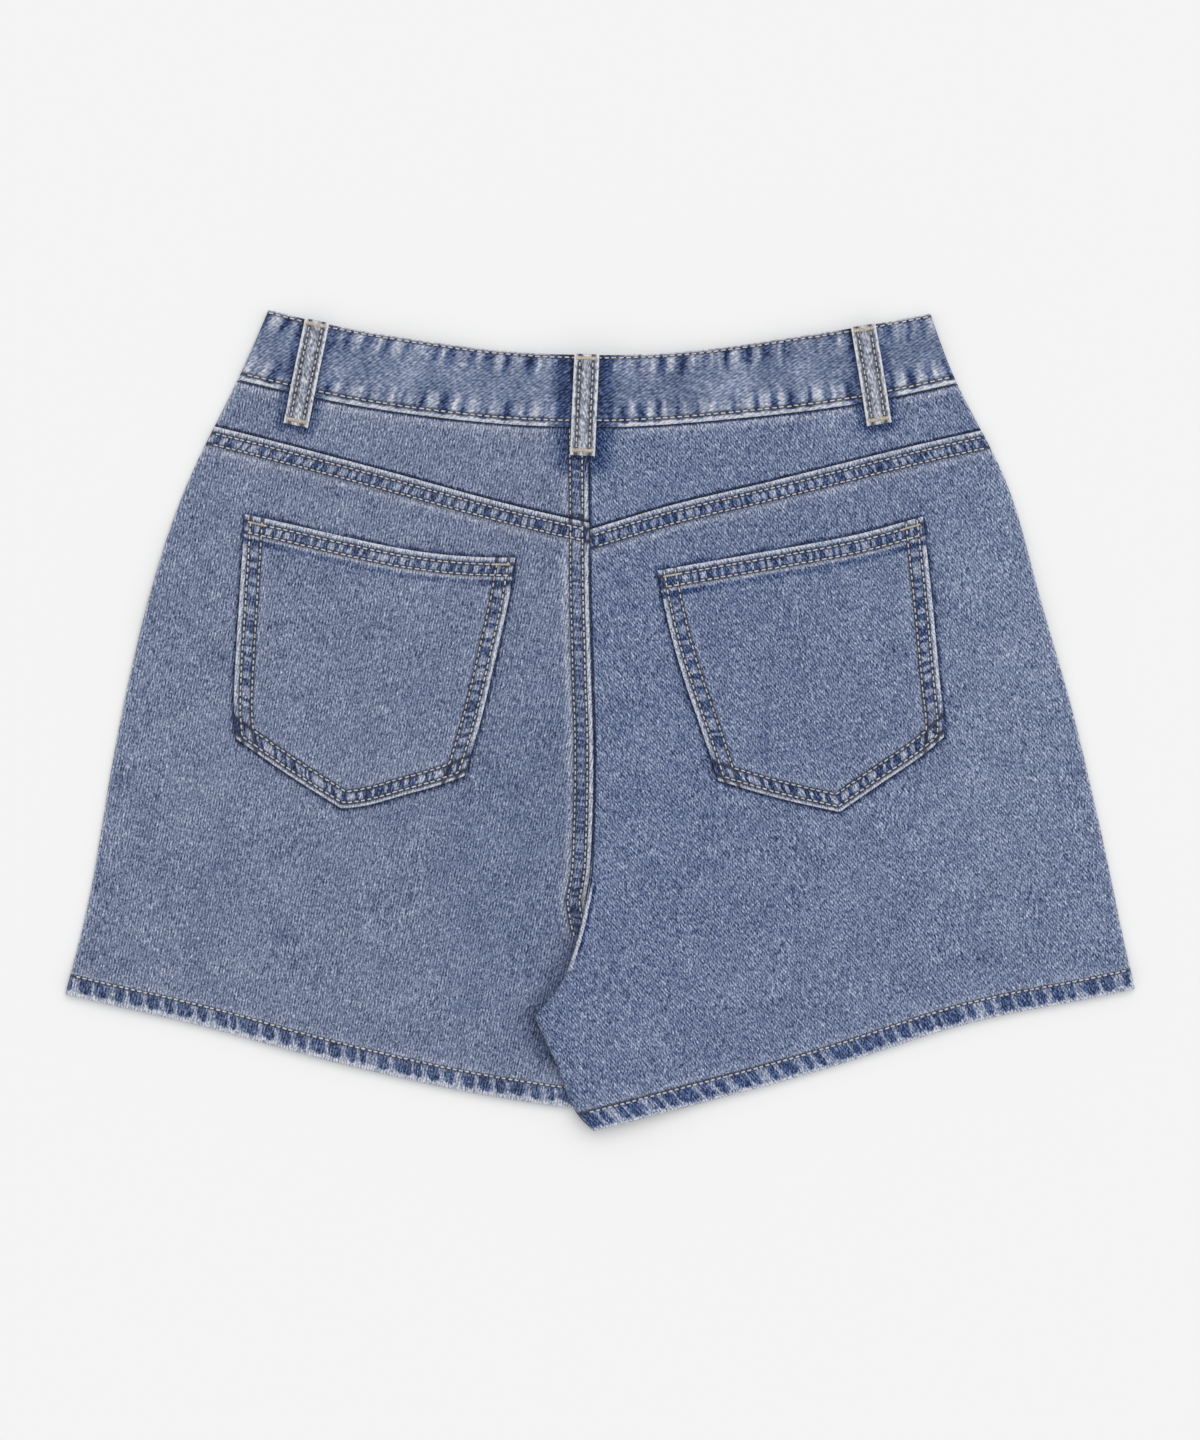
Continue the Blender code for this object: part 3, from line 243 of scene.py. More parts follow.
class Line:
    """A plan curve through a few points, read by the fraction of its length."""

    def __init__(self, points, smooth=True, samples=240):
        knots = np.asarray(points, float)
        reach = reach_along(knots)
        if len(knots) < samples / 2:
            fine = np.union1d(np.linspace(0, reach[-1], samples), reach)
            knots = natural_spline(reach, knots, fine) if smooth and len(knots) > 2 else np.stack(
                [np.interp(fine, reach, knots[:, k]) for k in (0, 1)], -1)
        self.points = knots
        self.reach = reach_along(knots)

    @property
    def length(self):
        return self.reach[-1]

    def at(self, fraction):
        distance = np.clip(fraction, 0, 1) * self.length
        return np.stack([np.interp(distance, self.reach, self.points[:, k]) for k in (0, 1)], -1)

    def then(self, other):
        """This line and another that starts at its end, with a corner between them."""
        return Line(np.concatenate([self.points, other.points[1:]]), smooth=False)

    def between(self, start, end):
        """The stretch between two fractions of the length."""
        return Line(self.at(np.linspace(start, end, 200)), smooth=False)

    def part(self, axis, first=None, last=None):
        """The stretch between two values of x (axis 0) or y (axis 1), or from or to an end."""
        start = 0 if first is None else self.fraction_at(axis, first)
        end = 1 if last is None else self.fraction_at(axis, last)
        return self.between(start, end)

    def reversed(self):
        return Line(self.points[::-1], smooth=False)

    def moved(self, distance):
        """Parallel line, to the left of the direction of travel when the distance is positive."""
        step = np.gradient(self.points, axis=0)
        step /= np.maximum(np.hypot(*step.T), 1e-9)[:, None]
        side = np.stack([-step[:, 1], step[:, 0]], -1)
        return Line(self.points + np.reshape(distance, (-1, 1)) * side, smooth=False)

    def fraction_at(self, axis, value):
        """The fraction of the length where x (axis 0) or y (axis 1) has a value."""
        coordinate = self.points[:, axis]
        order = np.argsort(coordinate)
        return float(np.interp(value, coordinate[order], self.reach[order])) / self.length

    def x_at(self, y):
        return self.read(1, y)

    def y_at(self, x):
        return self.read(0, x)

    def read(self, axis, value):
        """The other coordinate where x (axis 0) or y (axis 1) has a value."""
        order = np.argsort(self.points[:, axis])
        return np.interp(value, self.points[order, axis], self.points[order, 1 - axis])

    def distance(self, x, y):
        """Distance of plan points from the line's own points, which lie close together."""
        away = np.empty(x.shape)
        for row in range(len(x)):
            away[row] = np.hypot(x[row, :, None] - self.points[:, 0],
                                 y[row, :, None] - self.points[:, 1]).min(-1)
        return away

    def from_start(self, distance):
        """The line without its first stretch, or without its last where the distance is negative."""
        part = distance / self.length
        return self.between(max(part, 0), 1 + min(part, 0))


def reach_along(points):
    """Distance travelled at each point of a plan curve."""
    return np.concatenate([[0], np.cumsum(np.hypot(*np.diff(points, axis=0).T))])


def natural_spline(knot_reach, knots, reach):
    """Natural cubic spline through the knots, read at the given reaches."""
    n = len(knot_reach)
    gap = np.diff(knot_reach)
    system = np.eye(n)
    right = np.zeros((n, 2))
    for k in range(1, n - 1):
        system[k, k - 1:k + 2] = gap[k - 1], 2 * (gap[k - 1] + gap[k]), gap[k]
        right[k] = 6 * ((knots[k + 1] - knots[k]) / gap[k] - (knots[k] - knots[k - 1]) / gap[k - 1])
    bend = np.linalg.solve(system, right)
    k = np.clip(np.searchsorted(knot_reach, reach, side="right") - 1, 0, n - 2)
    span = gap[k][:, None]
    a = (knot_reach[k + 1] - reach)[:, None]
    b = (reach - knot_reach[k])[:, None]
    return ((bend[k] * a ** 3 + bend[k + 1] * b ** 3) / (6 * span)
            + (knots[k] / span - bend[k] * span / 6) * a
            + (knots[k + 1] / span - bend[k + 1] * span / 6) * b)


class Patch:
    """Cloth in plan between four edges: top and bottom run left to right, sides run down."""

    def __init__(self, top, bottom, left, right):
        self.top, self.bottom, self.left, self.right = top, bottom, left, right

    def at(self, u, v):
        corners = [edge.at(end) for edge in (self.top, self.bottom) for end in (0.0, 1.0)]
        u_, v_ = u[..., None], v[..., None]
        ruled = ((1 - v_) * self.top.at(u) + v_ * self.bottom.at(u)
                 + (1 - u_) * self.left.at(v) + u_ * self.right.at(v))
        bilinear = ((1 - u_) * (1 - v_) * corners[0] + u_ * (1 - v_) * corners[1]
                    + (1 - u_) * v_ * corners[2] + u_ * v_ * corners[3])
        return ruled - bilinear

    def speed(self, edge, t):
        """Millimetres square to an edge for a whole step across the patch, along the edge.

        They are never less than 5, so that the stops keep apart where an edge runs to a point.
        """
        small = 0.002
        zero, inner = np.zeros_like(t), np.full_like(t, small)
        before, after = np.clip(t - small, 0, 1), np.clip(t + small, 0, 1)
        reads = {"left": lambda s, d: self.at(d, s), "right": lambda s, d: self.at(1 - d, s),
                 "top": lambda s, d: self.at(s, d), "bottom": lambda s, d: self.at(s, 1 - d)}
        read = reads[edge]
        along = read(after, zero) - read(before, zero)
        along /= np.maximum(np.hypot(along[..., 0], along[..., 1]), 1e-9)[..., None]
        across = (read(t, inner) - read(t, zero)) / small
        square = along[..., 0] * across[..., 1] - along[..., 1] * across[..., 0]
        return np.maximum(np.abs(square), 5.0)

    def grid(self, columns, rows, left=(0.0,), right=(0.0,), top=(0.0,), bottom=(0.0,)):
        """Points at the stops near each edge, which are real distances, and evenly between."""
        wide = len(left) + columns - 1 + len(right)
        high = len(top) + rows - 1 + len(bottom)
        u = np.repeat(np.linspace(0, 1, wide)[:, None], high, 1)
        v = np.repeat(np.linspace(0, 1, high)[None, :], wide, 0)
        for _ in range(3):
            u = placed(left, right, columns, self.speed("left", v), self.speed("right", v))
            v = placed(top, bottom, rows, self.speed("top", u.T), self.speed("bottom", u.T)).T
        points = self.at(u, v)
        cloth = Cloth(points[..., 0], points[..., 1])
        cloth.to_left, cloth.to_right = u * self.speed("left", v), (1 - u) * self.speed("right", v)
        cloth.to_top, cloth.to_bottom = v * self.speed("top", u), (1 - v) * self.speed("bottom", u)
        cloth.down_left, cloth.down_right = v * self.left.length, v * self.right.length
        cloth.along_top, cloth.along_bottom = u * self.top.length, u * self.bottom.length
        return cloth


def placed(start, end, steps, start_speed, end_speed):
    """Fractions down the first axis: fixed stops at both ends and even steps between them."""
    low = start[-1] / start_speed[0]
    high = 1 - end[-1] / end_speed[-1]
    lines = [stop / start_speed[0] for stop in start]
    lines += [low + (high - low) * k / steps for k in range(1, steps)]
    lines += [1 - stop / end_speed[-1] for stop in reversed(end)]
    return np.array(lines)


class Cloth:
    """Plan points of a piece, their wear and painted shade. A patch adds distances from and along its
    edges.
    """

    def __init__(self, x, y):
        self.x, self.y = x, y
        self.dent = np.zeros_like(x)        # height that sewing adds, in millimetres
        self.dye_and_shade = np.zeros_like(x)         # 1 unworn indigo and painted shade, -1 worn white
        self.painted_shade = np.zeros_like(x)      # painted shade: 1 in the dark line of a stitch row, beside lapped edges and under the right leg's edge
        self.along = x + 0.0                # place along the nearest seam
        self.across = np.full_like(x, FAR_AWAY)   # and distance from it
        self.mottle = np.zeros_like(x)      # how far dark patches and pale gaps alternate
        self.beat = np.zeros_like(x)        # counts the patches along a seam
        self.spread = np.zeros_like(x)      # how much wider the patches are than the gaps

    def across_leg(self, side):
        """Distances from the garment's side and from the leg's inner edge or the seat seam."""
        return (self.to_left, self.to_right) if side == "left" else (self.to_right, self.to_left)

    def lay_dye_and_shade(self, value, cover):
        """Lay a tone over what is there, as thickly as the cover says: worn or kept dye, and in places
        painted shade.
        """
        self.dye_and_shade = self.dye_and_shade * (1 - cover) + value * cover

    def topstitch(self, across, along, rows, worn, mottled, seed, edge=1.05, dark=0.8, light=-0.5,
                  fade=0.9, halo=0.38, period=6.0, slant=0.35, pucker=0.3, strength=1.0,
                  spread=0.0):
        """Wear of a stitched edge: white at the fold, mottled inside it, pale past its last row, with a
        painted shade line along each row.

        worn is the width of the white fold, and mottled the two distances between which dark
        patches and light gaps alternate, with a mean period.
        """
        low, high = mottled
        last = max(max(rows), high)
        between = within(across, low, high, 0.7)
        value = -edge * near(across, worn - 0.8, fade) + between * (dark + light) / 2
        value = value - halo * within(across, last + 2.6, last + 3.4, 2.2)
        cover = strength * near(across, last + 3.0, 6.0)
        self.lay_dye_and_shade(value, cover)
        self.mottle = self.mottle * (1 - cover) + between * cover * (dark - light) / 2
        for row in rows:
            off = np.abs(across - row)
            self.painted_shade = np.maximum(self.painted_shade, strength * near(off, ROW_SHADE_HALF_WIDTH, 0.8))
            self.dent = self.dent - ROW_DENT * strength * near(off, 0.2, 1.5)
        run = along + slant * across
        long = max(period, 7.0)
        puckers = uneven_patches(seed, (0.4 * long, 0.7 * long), (0.3 * long, 0.6 * long))
        self.dent = self.dent + (pucker * strength * (0.5 - puckers(run))
                                 * within(across, low, high, 1.2))
        here = (across < last + 5) & (strength > 0.5)
        beat = run / period + 40 * seed
        for key, told in (("along", along), ("across", across), ("beat", beat), ("spread", spread)):
            setattr(self, key, np.where(here, told, getattr(self, key)))

    def shade_line(self, distance, amount=0.95, full=0.8, fade=2.0):
        """Painted shadow close beside an edge that laps over it, with the indigo that stays there:
        darker dye and a dark painted line.
        """
        shaded = near(distance, full, fade)
        self.dye_and_shade = np.maximum(self.dye_and_shade, amount * shaded - (1 - shaded))
        self.painted_shade = np.maximum(self.painted_shade, 0.8 * near(distance, 0.3, 0.9))


def uneven_patches(seed, patch, gap, length=640.0, step=0.2, lead=40.0, soft=1.8):
    """Dark patches and light gaps of uneven length along a seam, as a function of the distance.

    They start a lead before the seam does, and their ends are softened.
    """
    rng = np.random.default_rng(seed)
    profile = np.zeros(int(length / step))
    place = -rng.uniform(0, patch[1])
    while place < length:
        width = rng.uniform(*patch)
        depth = rng.uniform(0.4, 1.0)
        first, last = (max(int(p / step), 0) for p in (place, place + width))
        profile[first:last] = depth
        place += width + rng.uniform(*gap)
    window = np.hanning(int(soft / step) * 2 + 3)[1:-1]
    profile = np.convolve(profile, window / window.sum(), mode="same")
    reach = np.arange(len(profile)) * step - lead
    return lambda distance: np.interp(distance, reach, profile)


def stitched_stops(width, rows, worn):
    """Distances from a stitched edge where the cloth needs points, for its fold, rows and slope."""
    wanted = {0.0, 0.3, FOLD_ROUND, worn, worn + 0.6, width - FELL_SLOPE, width - 0.3, width,
              width + 1.2, width + 2.6, width + 4.2}
    for row in rows:
        wanted |= {row - 1.3, row - 0.6, row, row + 0.6, row + 1.3}
    stops = [0.0]
    for stop in sorted(wanted):
        if stop - stops[-1] > 0.28:
            stops.append(stop)
    filled = []
    for first, second in zip(stops, stops[1:]):
        filled.append(first)
        if second - first > 1.5:
            extra = int((second - first) / 1.1)
            filled += [first + (second - first) * k / (extra + 1) for k in range(1, extra + 1)]
    return tuple(filled + [stops[-1]])


# ---- Lines of the garment ------------------------------------------------------------------
sides = {"left": Line(LEFT_SIDE), "right": Line(RIGHT_SIDE)}
hems = {"left": Line(HEM_LEFT), "right": Line(HEM_RIGHT)}
yokes = {"left": Line(YOKE_SEAM_LEFT), "right": Line(YOKE_SEAM_RIGHT)}
scoops = {"left": Line(SCOOP),
          "right": Line([(-x - 2.0, y - 0.5) for x, y in SCOOP[:-1]] + [(228.4, 65.0)])}
waist_top, waist_seam = Line(WAIST_TOP), Line(WAIST_SEAM)
front_top, front_seam = Line(FRONT_TOP), Line(FRONT_SEAM)
seat_seam = Line(SEAT_SEAM)
front_centre = Line(FRONT_CENTRE).then(seat_seam.part(1, FRONT_CENTRE[-1][1]))
top_inner = Line(TOP_CROTCH).then(Line(TOP_INSEAM))
under_inner = Line(UNDER_CROTCH).then(Line(UNDER_INSEAM))
pocket_lines = {side: {edge: Line(points) for edge, points in table.items()}
                for side, table in POCKETS.items()}
BACK_END = {"left": SEAT_SEAM[0][0], "right": SEAT_SEAM[0][0] + GAP}    # halves meet at the back
CROSSING = SEAT_SEAM[-1][1]     # below this the right leg lies over the left leg


def half(line, side, x):
    """A line round the waist from its side end to a place near the centre."""
    return line.part(0, last=x) if side == "left" else line.part(0, x)


# ---- Heights of the stack, as in the part's source -----------------------------------------
def box_distance(x, y, x_range, y_range):
    """Distance of plan points from an upright rectangle."""
    across = np.maximum(np.maximum(x_range[0] - x, x - x_range[1]), 0)
    along = np.maximum(np.maximum(y_range[0] - y, y - y_range[1]), 0)
    return np.hypot(across, along)


def strap_axes(foot, head):
    """Length of a belt loop, and plan vectors along and across it."""
    foot, head = np.array(foot), np.array(head)
    length = np.hypot(*(head - foot))
    along = (head - foot) / length
    return length, along, np.array([along[1], -along[0]])


def strap_distance(x, y, foot, head):
    """Distance of plan points from a belt loop's outline."""
    length, along, across = strap_axes(foot, head)
    run = (x - foot[0]) * along[0] + (y - foot[1]) * along[1]
    off = np.abs((x - foot[0]) * across[0] + (y - foot[1]) * across[1])
    past_ends = np.maximum(np.maximum(-run, run - length), 0)
    return np.hypot(past_ends, np.maximum(off - LOOP_WIDTH / 2, 0))


def table_lift(x, y):
    """How far the button and the front belt loops hold the front off the table."""
    away = np.hypot(x - BUTTON_PLACE[0], y - BUTTON_PLACE[1])
    lift = (BUTTON_HEAD + GAP) * near(away, BUTTON_RADIUS + 2, CREEP)
    for _, foot, head in FRONT_LOOPS:
        strap = strap_distance(x, y, foot, head)
        lift = lift + (LOOP_CLOTH + GAP + SLACK) * near(strap, 2.0, CREEP)
    return lift


def leg_lift(x, y):
    """How far the left leg holds up the right leg, which lies over it."""
    edge = np.where(y > CROSSING, seat_seam.x_at(y), under_inner.x_at(y))
    below = ease((CLIMB_TOP - y) / CLIMB)
    hem = near(y - hems["left"].y_at(x), HEM_DEPTH + 14, 26)
    stack = 2 * CLOTH + 3 * GAP + 2 * FOLD * hem
    return stack * below * ease((edge + CLIMB + 4 - x) / CLIMB)


def above_hem(x, y, side):
    """Height of plan points over the leg's hem."""
    return y - hems[side].y_at(x)


def from_side(x, y):
    """Distance of plan points from the nearer side of the garment, along X."""
    return np.where(x < 0, x - sides["left"].x_at(y), sides["right"].x_at(y) - x)


def front_stack(x, y, side):
    """Thickness of the front layer and of what lies on its inner face."""
    over_seam = y - front_seam.y_at(x)
    waist = ease((over_seam + 8) / 7)
    hem = near(above_hem(x, y, side), HEM_DEPTH, 12)
    pocket = near(scoops[side].distance(x, y), 13, 40) * (1 - ease((over_seam - 2) / 10))
    fly_box = (-FLY_WIDTH + 6, 18), (FLY_TOP - FLY_LENGTH - 2, FLY_TOP - 1)
    fly = near(box_distance(x, y, *fly_box), 3, 36)
    underlap = near(box_distance(x, y, (UNDERLAP_END, 36), (133, 172)), 10, 42)
    folded = np.maximum(FOLD * np.maximum(waist, hem), (CLOTH + 2 * GAP) * pocket)
    fly_stack = CLOTH + ZIP_WALL + 3 * GAP
    return CLOTH + folded + fly_stack * fly * (1 - waist) + (BAND + GAP) * underlap


def loft(x, y, side):
    """Air between the layers, which the seams, hems and side folds pinch to a gap."""
    open_part = ease((from_side(x, y) - 4) / 34)
    open_part = open_part * ease((above_hem(x, y, side) - HEM_DEPTH) / 30)
    open_part = open_part * ease((front_seam.y_at(x) - 4 - y) / 20)
    return SEAM_AIR + LOFT * open_part


def pressed(x, y):
    """1 where the right leg's weight lies on the left leg, and close beside it."""
    return ease((x - top_inner.x_at(y) + 24) / 20) * ease((-66 - y) / 26)


def front_face(x, y, side):
    """Height of the front layer's outer face."""
    return table_lift(x, y) + (leg_lift(x, y) if side == "right" else 0.0)


def back_inner(x, y, side):
    """Height of the back layer's inner face."""
    air = loft(x, y, side)
    if side == "left":
        air = PRESSED_AIR + (air - PRESSED_AIR) * (1 - pressed(x, y))
    else:
        held = ease((-60 - y) / 30) * ease((110 - x) / 50)
        air = HELD_AIR + (air - HELD_AIR) * (1 - held)
    return front_face(x, y, side) + front_stack(x, y, side) + air


def rolled(face, middle, distance, amount=1.0):
    """Bring a face down (or up) to the middle of the stack in a quarter round at an edge."""
    inside = np.clip(1 - distance / ROLL, 0, 1)
    return middle + (face - middle) * (1 - amount * (1 - np.sqrt(1 - inside ** 2)))


def fell(distance, width):
    """Profile of a folded band from a rounded edge to the slope at its far side."""
    rounded = 0.5 + 0.5 * ease(distance / FOLD_ROUND)
    return np.minimum(rounded, near(distance, width - FELL_SLOPE, FELL_SLOPE))


def creased(x, y, creases):
    """Height of soft creases, which bow a little and die out at both ends."""
    height = np.zeros_like(x)
    for x0, y0, x1, y1, half_width, rise in creases:
        length = math.hypot(x1 - x0, y1 - y0)
        run = ((x - x0) * (x1 - x0) + (y - y0) * (y1 - y0)) / length
        off = ((x - x0) * (y1 - y0) - (y - y0) * (x1 - x0)) / length
        off = off + 0.06 * length * np.sin(math.pi * run / length)
        over, fade = 0.15 * length, 0.4 * length
        ends = ease((run + over) / fade) * ease((length + over - run) / fade)
        height = height + rise * ends * np.exp(-(off / half_width) ** 2)
    return height


def sway(x, y):
    """Slow rise and fall of washed cloth that was smoothed out by hand."""
    waves = 0.16 * np.sin(x / 17 + 1.3 * np.sin(y / 31)) * np.sin(y / 23 + 0.8 * np.sin(x / 29 + 1))
    waves = waves + 0.10 * np.sin(x / 8.3 + y / 21 + 2 * np.sin(y / 47)) * np.sin(y / 13 - x / 37)
    return waves


def washed(x, y):
    """How much indigo the wash left beyond the even tone."""
    return sum(dye_and_shade * np.exp(-((x - x0) / wide) ** 2 - ((y - y0) / high) ** 2)
               for x0, y0, wide, high, dye_and_shade in WASH_ZONES)


def back_relief(x, y):
    """Creases and sway of the back, which all its layers share and the sides pinch out."""
    return (creased(x, y, BACK_CREASES) + sway(x, y)) * ease((from_side(x, y) - 2) / 16)


def back_height(x, y, side):
    """Height of the inner face of the back with its creases."""
    return back_inner(x, y, side) + back_relief(x, y)


def rolled_leg(z, middle, cloth, side):
    """Bring a leg's face to the middle at its side and, below the crossing, at its inner edge."""
    to_outer, to_inner = cloth.across_leg(side)
    z = rolled(z, middle, to_outer)
    return rolled(z, middle, to_inner, INSEAM_ROLL[side] * ease((CROSSING + 1 - cloth.y) / 9))


# ---- Materials -----------------------------------------------------------------------------
def linear(hex_colour):
    """Linear colour from an sRGB hex value."""
    values = [int(hex_colour[k:k + 2], 16) / 255 for k in (1, 3, 5)]
    return [v / 12.92 if v <= 0.04045 else ((v + 0.055) / 1.055) ** 2.4 for v in values] + [1.0]


def add_node(tree, kind, inputs=(), stops=(), **settings):
    """A node with its settings and links; an input is a value or another node's output."""
    node = tree.nodes.new(kind)
    for name, value in settings.items():
        setattr(node, name, value)
    for socket, value in dict(inputs).items():
        if isinstance(value, bpy.types.NodeSocket):
            tree.links.new(value, node.inputs[socket])
        else:
            node.inputs[socket].default_value = value
    for k, (place, colour) in enumerate(stops):
        ramp = node.color_ramp.elements
        stop = ramp[k] if k < 2 else ramp.new(place)    # a new ramp has two stops
        stop.position = place
        stop.color = linear(colour)
    return node


def new_material(name, **values):
    """A material, its node tree and its shader, with the values that are even all over."""
    material = bpy.data.materials.new(name)
    material.use_nodes = True
    shader = material.node_tree.nodes["Principled BSDF"]
    for socket, value in values.items():
        shader.inputs[socket.replace("_", " ")].default_value = value
    return material, material.node_tree, shader


# Indigo ring-dyed warp: the dye sits on the yarn's skin, so wear takes it from blue-black
# through mid blue to the white core. Places on the ramp are the share of skin worn off.
WEAR_RAMP = ((0.0, "#181D30"), (0.18, "#364366"), (0.34, "#505E7E"), (0.5, "#6B7690"),
             (0.66, "#8691AB"), (0.82, "#A3ABC0"), (1.0, "#CBCDD7"))


def denim(name, twill_line, warp_line, twill=0.25, speck=0.9, specks_per_mm=0.95, streak=0.15,
          cloud=0.15, wear=0.48, blue=1.0, marks=1.0):
    """Stone-washed denim: 3/1 twill of indigo warp over white weft, its diagonals worn pale.

    The eye sees short pale diagonals and specks of weft on blue, slubby streaks down the
    warp, and soft clouds from the wash. Twill lines of 12 oz denim lie 1.0 to 1.1 mm apart;
    they are drawn 1.5 mm apart, so that they still show when the whole garment is seen.
    twill_line and warp_line are the directions of the diagonals and of the warp, in degrees from the X
    axis. twill, speck, streak and cloud say how strongly each pattern wears the cloth, wear is the even
    tone, and marks scales what the sewing left and the painted shade that the dye and the stitch rows
    carry.
    """
    material, tree, shader = new_material(name, Roughness=0.88, Specular_IOR_Level=0.25,
                                          Sheen_Weight=0.12, Sheen_Roughness=0.55)
    place = add_node(tree, "ShaderNodeTexCoord").outputs["Object"]
    plan = add_node(tree, "ShaderNodeMapping", {
        "Vector": place, "Scale": (1000, 1000, 1000), "Location": (0.0, 0.0, 0.4)}).outputs[0]
    seen = {}       # what each pattern or attribute says at a point
    for key in ("dye_and_shade", "painted_shade", "along", "across", "beat", "mottle", "spread"):
        seen[key] = add_node(tree, "ShaderNodeAttribute", attribute_name=key).outputs["Fac"]
    seam = add_node(tree, "ShaderNodeCombineXYZ", {0: seen["along"], 1: seen["across"]}).outputs[0]

    # Patterns: what they lie on, the direction of their lines, grains in a millimetre across
    # and along these, and the noise's detail and roughness. Specks of weft are a yarn wide and
    # two long, slubs 0.6 x 2.2 mm, the wash's clouds 22 mm, and the ribs that pucker beside a
    # seam 1.3 mm apart.
    for key, ground, line, grains, detail, rough in (
            ("broken", plan, twill_line, (0.8, 0.28, 0.8), 0.0, 0.5),
            ("specks", plan, warp_line, (specks_per_mm, specks_per_mm / 2, specks_per_mm), 0.0, 0.5),
            ("streaks", plan, warp_line, (1.7, 0.46, 1.0), 0.0, 0.5),
            ("clouds", plan, 90, (0.045, 0.045, 0.045), 2.0, 0.62),
            ("ragged", plan, twill_line, (0.72, 0.4, 0.72), 2.0, 0.7),
            ("ribs", seam, 90, (0.75, 0.165, 1.0), 2.0, 0.8)):
        laid = add_node(tree, "ShaderNodeMapping", {
            "Vector": ground, "Rotation": (0, 0, math.radians(line - 90)),
            "Scale": [1 / count for count in grains]}, vector_type="TEXTURE").outputs[0]
        seen[key] = add_node(tree, "ShaderNodeTexNoise", {
            "Vector": laid, "Scale": 1.0, "Detail": detail, "Roughness": rough}).outputs["Fac"]
    diagonal = add_node(tree, "ShaderNodeMapping", {
        "Vector": plan, "Rotation": (0, 0, math.radians(90 - twill_line))}).outputs[0]
    seen["lines"] = add_node(tree, "ShaderNodeTexWave", {
        "Vector": diagonal, "Scale": 0.3142 / TWILL_PITCH, "Distortion": 1.2, "Detail": 1.0,
        "Detail Scale": 1.6, "Detail Roughness": 0.6},
        wave_type="BANDS", bands_direction="X").outputs["Fac"]
    seen["drift"] = add_node(tree, "ShaderNodeTexNoise", {
        "W": seen["beat"], "Scale": 0.8, "Detail": 1.0}, noise_dimensions="1D").outputs["Fac"]

    # The share of the yarn's skin that is worn off: an even tone, and each pattern round it
    gains = {"lines": twill, "specks": speck, "broken": 0.8 * twill, "streaks": streak, "clouds": cloud}
    worn = wear - sum(gains.values()) / 2
    for key, gain in gains.items():
        worn = add_node(tree, "ShaderNodeMath", {0: seen[key], 1: gain, 2: worn},
                        operation="MULTIPLY_ADD").outputs[0]
    # The ribs show close beside a seam
    beside = add_node(tree, "ShaderNodeMapRange", {
        0: seen["across"], 1: 4.0, 2: 14.0, 3: 1.0, 4: 0.0}).outputs[0]
    ribbed = add_node(tree, "ShaderNodeMath", {0: seen["ribs"], 1: 0.75, 2: -0.375},
                      operation="MULTIPLY_ADD").outputs[0]
    worn = add_node(tree, "ShaderNodeMath", {0: ribbed, 1: beside, 2: worn},
                    operation="MULTIPLY_ADD").outputs[0]

    # Dark patches and pale gaps beat along a seam; they drift, and the yarn makes them ragged
    beats = {"beat": 2 * math.pi, "drift": 9.0, "ragged": 3.0}
    turn = -(beats["drift"] + beats["ragged"]) / 2
    for key, gain in beats.items():
        turn = add_node(tree, "ShaderNodeMath", {0: seen[key], 1: gain, 2: turn},
                        operation="MULTIPLY_ADD").outputs[0]
    waves = add_node(tree, "ShaderNodeMath", {0: turn}, operation="SINE").outputs[0]
    waves = add_node(tree, "ShaderNodeMath", {0: waves, 1: seen["spread"]}, operation="ADD").outputs[0]
    patches = add_node(tree, "ShaderNodeMapRange", {
        0: waves, 1: -0.5, 2: 0.4, 3: -1.0, 4: 1.0}).outputs[0]
    patched = add_node(tree, "ShaderNodeMath", {0: seen["mottle"], 1: patches},
                       operation="MULTIPLY").outputs[0]
    # The dye holds painted shade as well as worn and kept indigo; the yarn makes it ragged
    torn = add_node(tree, "ShaderNodeMath", {0: seen["dye_and_shade"], 1: seen["ragged"]},
                    operation="MULTIPLY").outputs[0]
    kept = add_node(tree, "ShaderNodeMath", {0: torn, 1: 2.0, 2: patched},
                    operation="MULTIPLY_ADD").outputs[0]
    worn = add_node(tree, "ShaderNodeMath", {0: kept, 1: -0.36 * marks, 2: worn},
                    operation="MULTIPLY_ADD").outputs[0]

    # Worn cloth is greyer, and indigo that the wash couldn't reach is bluer, as is the painted shade in
    # the dye
    faded = add_node(tree, "ShaderNodeValToRGB", {0: worn}, WEAR_RAMP).outputs[0]
    greyed = add_node(tree, "ShaderNodeMapRange", {
        0: kept, 1: -1.1, 2: 0.7, 3: 0.6 * blue, 4: 1.15 * blue}).outputs[0]
    colour = add_node(tree, "ShaderNodeHueSaturation", {
        "Color": faded, "Saturation": greyed}).outputs[0]
    # Painted shade: the dark lines of the stitch rows and beside lapped edges mix towards a neutral
    # near-black
    shade_mix = add_node(tree, "ShaderNodeMath", {0: seen["painted_shade"], 1: 0.86 * marks},
                      operation="MULTIPLY").outputs[0]
    shadowed = add_node(tree, "ShaderNodeMix", {0: shade_mix, 6: colour, 7: linear("#1D2132")},
                        data_type="RGBA").outputs[2]
    tree.links.new(shadowed, shader.inputs["Base Color"])

    # The yarns stand up to 0.25 mm off the cloth
    height = add_node(tree, "ShaderNodeMath", {0: seen["lines"], 1: 0.6, 2: seen["specks"]},
                      operation="MULTIPLY_ADD").outputs[0]
    bump = add_node(tree, "ShaderNodeBump", {"Height": height, "Strength": 0.2, "Distance": 0.25 * MM})
    tree.links.new(bump.outputs[0], shader.inputs["Normal"])
    return material


